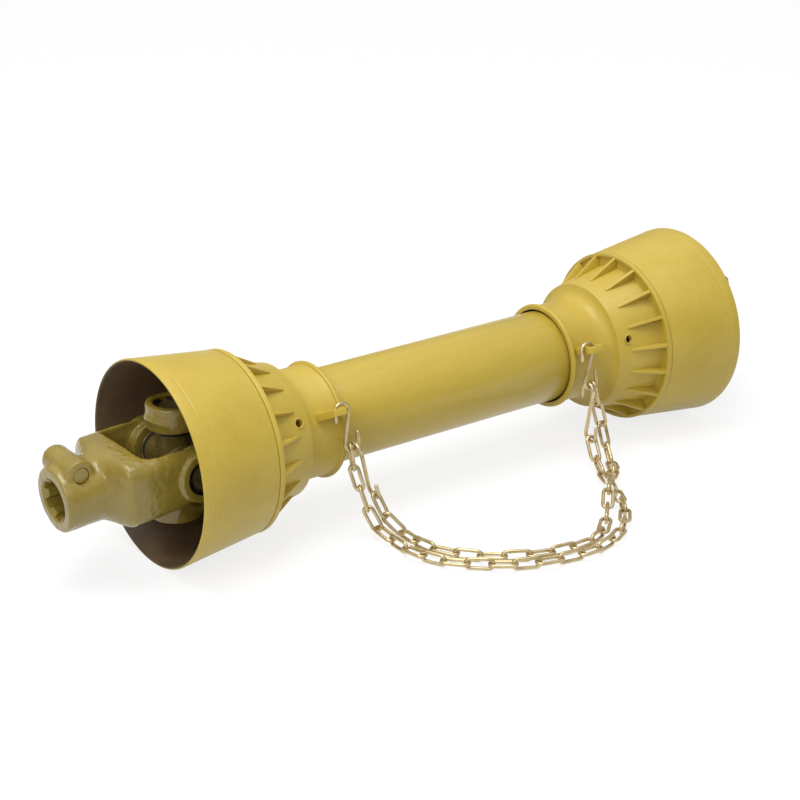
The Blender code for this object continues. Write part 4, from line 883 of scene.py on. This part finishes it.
for strand, start, route, stop in (
    ("one", link_end["left"], first_route, low_end["right"]),
    ("two", low_end["left"], second_route, link_end["right"]),
):
    path, length = smooth_path([start, *(Vector(point) * MM for point in route), stop])
    count = 2 * round(((length - LINK_OVERRUN) / LINK_PITCH - 1) / 2) + 1
    pitch, spacing = (length - LINK_OVERRUN) / count, length / (len(path) - 1)
    bearings = [path[round((LINK_OVERRUN / 2 + pitch * number) / spacing)] for number in range(count + 1)]
    for number, (behind, ahead) in enumerate(zip(bearings, bearings[1:])):
        along = (ahead - behind).normalized()
        flat = (Vector((0, 0, 1)) - along * along.z).normalized()
        sideways = along.cross(flat) if number % 2 == 0 else flat
        reach = ((ahead - behind).length + LINK_WIRE) / 2 - LINK_SIDE
        outline = arc(reach, 0, LINK_SIDE, -90, 90, 13) + arc(-reach, 0, LINK_SIDE, 90, 270, 13)
        centre = (ahead + behind) / 2
        link = piece(
            f"chain_{strand}_link_{number + 1:02d}",
            wire_body([centre + along * x + sideways * y for x, y in outline], LINK_WIRE, closed=True),
            [chain_zinc], None, "chain_zinc", f"chain_strand_{strand}",
        )
        before, after = eased(number / count), eased((number + 1) / count)
        whole = (ahead - behind) / (after - before)
        behind - whole * before
        behind + whole * (1 - before)
        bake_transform(link)


# Studio: a white sweep that the shaft lies on, lit by one large soft lamp overhead, a weaker one from
# the camera's left and a world that pales upwards. The camera stands where the photograph was taken from.
paper = bpy.data.materials.new("studio_paper")
paper.use_nodes = True
tree = paper.node_tree
sweep = Field(tree)
rays = tree.nodes.new("ShaderNodeLightPath").outputs
camera_ray, glossy_ray, clear_ray = (
    Field(tree, rays[name]) for name in ("Is Camera Ray", "Is Glossy Ray", "Is Transmission Ray")
)
seen = camera_ray + glossy_ray + clear_ray
grain = sweep.node("TexNoise", Vector=sweep.node("TexCoord", output=3), Scale=40.0, Detail=2.0)
fibres = sweep.node("ValToRGB", {"stops": [(0.3, (0.6, 0.6, 0.6)), (0.7, (0.64, 0.64, 0.64))]}, Fac=grain)
matt = tree.nodes["Principled BSDF"]
sweep.fill(matt, Base_Color=fibres, Roughness=grain * 0.1 + 0.85, Specular_IOR_Level=0.0)
glow = sweep.node("Emission", Color=(1, 1, 1, 1), Strength=1.28)
mixed = tree.nodes.new("ShaderNodeMixShader")
for socket, value in zip(mixed.inputs, (seen * 0.62, Field(tree, matt.outputs[0]), glow)):
    sweep.feed(socket, value)
sweep.feed(tree.nodes["Material Output"].inputs["Surface"], Field(tree, mixed.outputs[0]))
floor_mesh = bmesh.new()
bmesh.ops.create_grid(floor_mesh, x_segments=1, y_segments=1, size=12)
floor_data = bpy.data.meshes.new("studio_floor")
floor_mesh.to_mesh(floor_data)
floor_mesh.free()
floor_data.materials.append(paper)
floor = bpy.data.objects.new("studio_floor", floor_data)
bpy.context.scene.collection.objects.link(floor)

CAMERA_PLACE, CAMERA_LENS = (-1.0594, -1.3855, 0.789), 95.9
CAMERA_DOWN, CAMERA_TURN = 22.3, -36.43
lens = bpy.data.cameras.new("photo_camera")
lens.lens = CAMERA_LENS
camera = bpy.data.objects.new("photo_camera", lens)
camera.location = CAMERA_PLACE
camera.rotation_euler = (math.radians(90 - CAMERA_DOWN), 0, math.radians(CAMERA_TURN))
bpy.context.scene.collection.objects.link(camera)
bpy.context.scene.camera = camera

world = bpy.data.worlds.new("studio_world")
world.use_nodes = True
sky = Field(world.node_tree)
height = sky.node("SeparateXYZ", output=2, Vector=sky.node("TexCoord", output=0))
greys = [(0.0, (0.3, 0.3, 0.3)), (0.25, (0.42, 0.42, 0.42)), (0.8, (1, 1, 1))]
shade = sky.node("ValToRGB", {"stops": greys}, Fac=height)
backdrop = Field(world.node_tree, world.node_tree.nodes.new("ShaderNodeLightPath").outputs["Is Camera Ray"])
sky.fill(
    world.node_tree.nodes["Background"],
    Strength=backdrop * 0.15 + 0.85,
    Color=sky.node("Mix", {"data_type": "RGBA"}, output=2, Factor=backdrop, A=shade, B=(1, 1, 1, 1)),
)
bpy.context.scene.world = world

for name, place, aim, size, power in (
    ("overhead_softbox", (-0.35, -0.1, 1.8), (0, 0, 0.1), 1.1, 19),
    ("left_softbox", (-1.8, -0.9, 1.1), (-0.2, 0, 0.1), 0.8, 8),
):
    light = bpy.data.lights.new(name, "AREA")
    light.size = size
    light.energy = power
    lamp = bpy.data.objects.new(name, light)
    lamp.location = place
    lamp.rotation_euler = (Vector(aim) - Vector(place)).to_track_quat("-Z", "Y").to_euler()
    bpy.context.scene.collection.objects.link(lamp)

bpy.context.scene.view_settings.view_transform = "Standard"
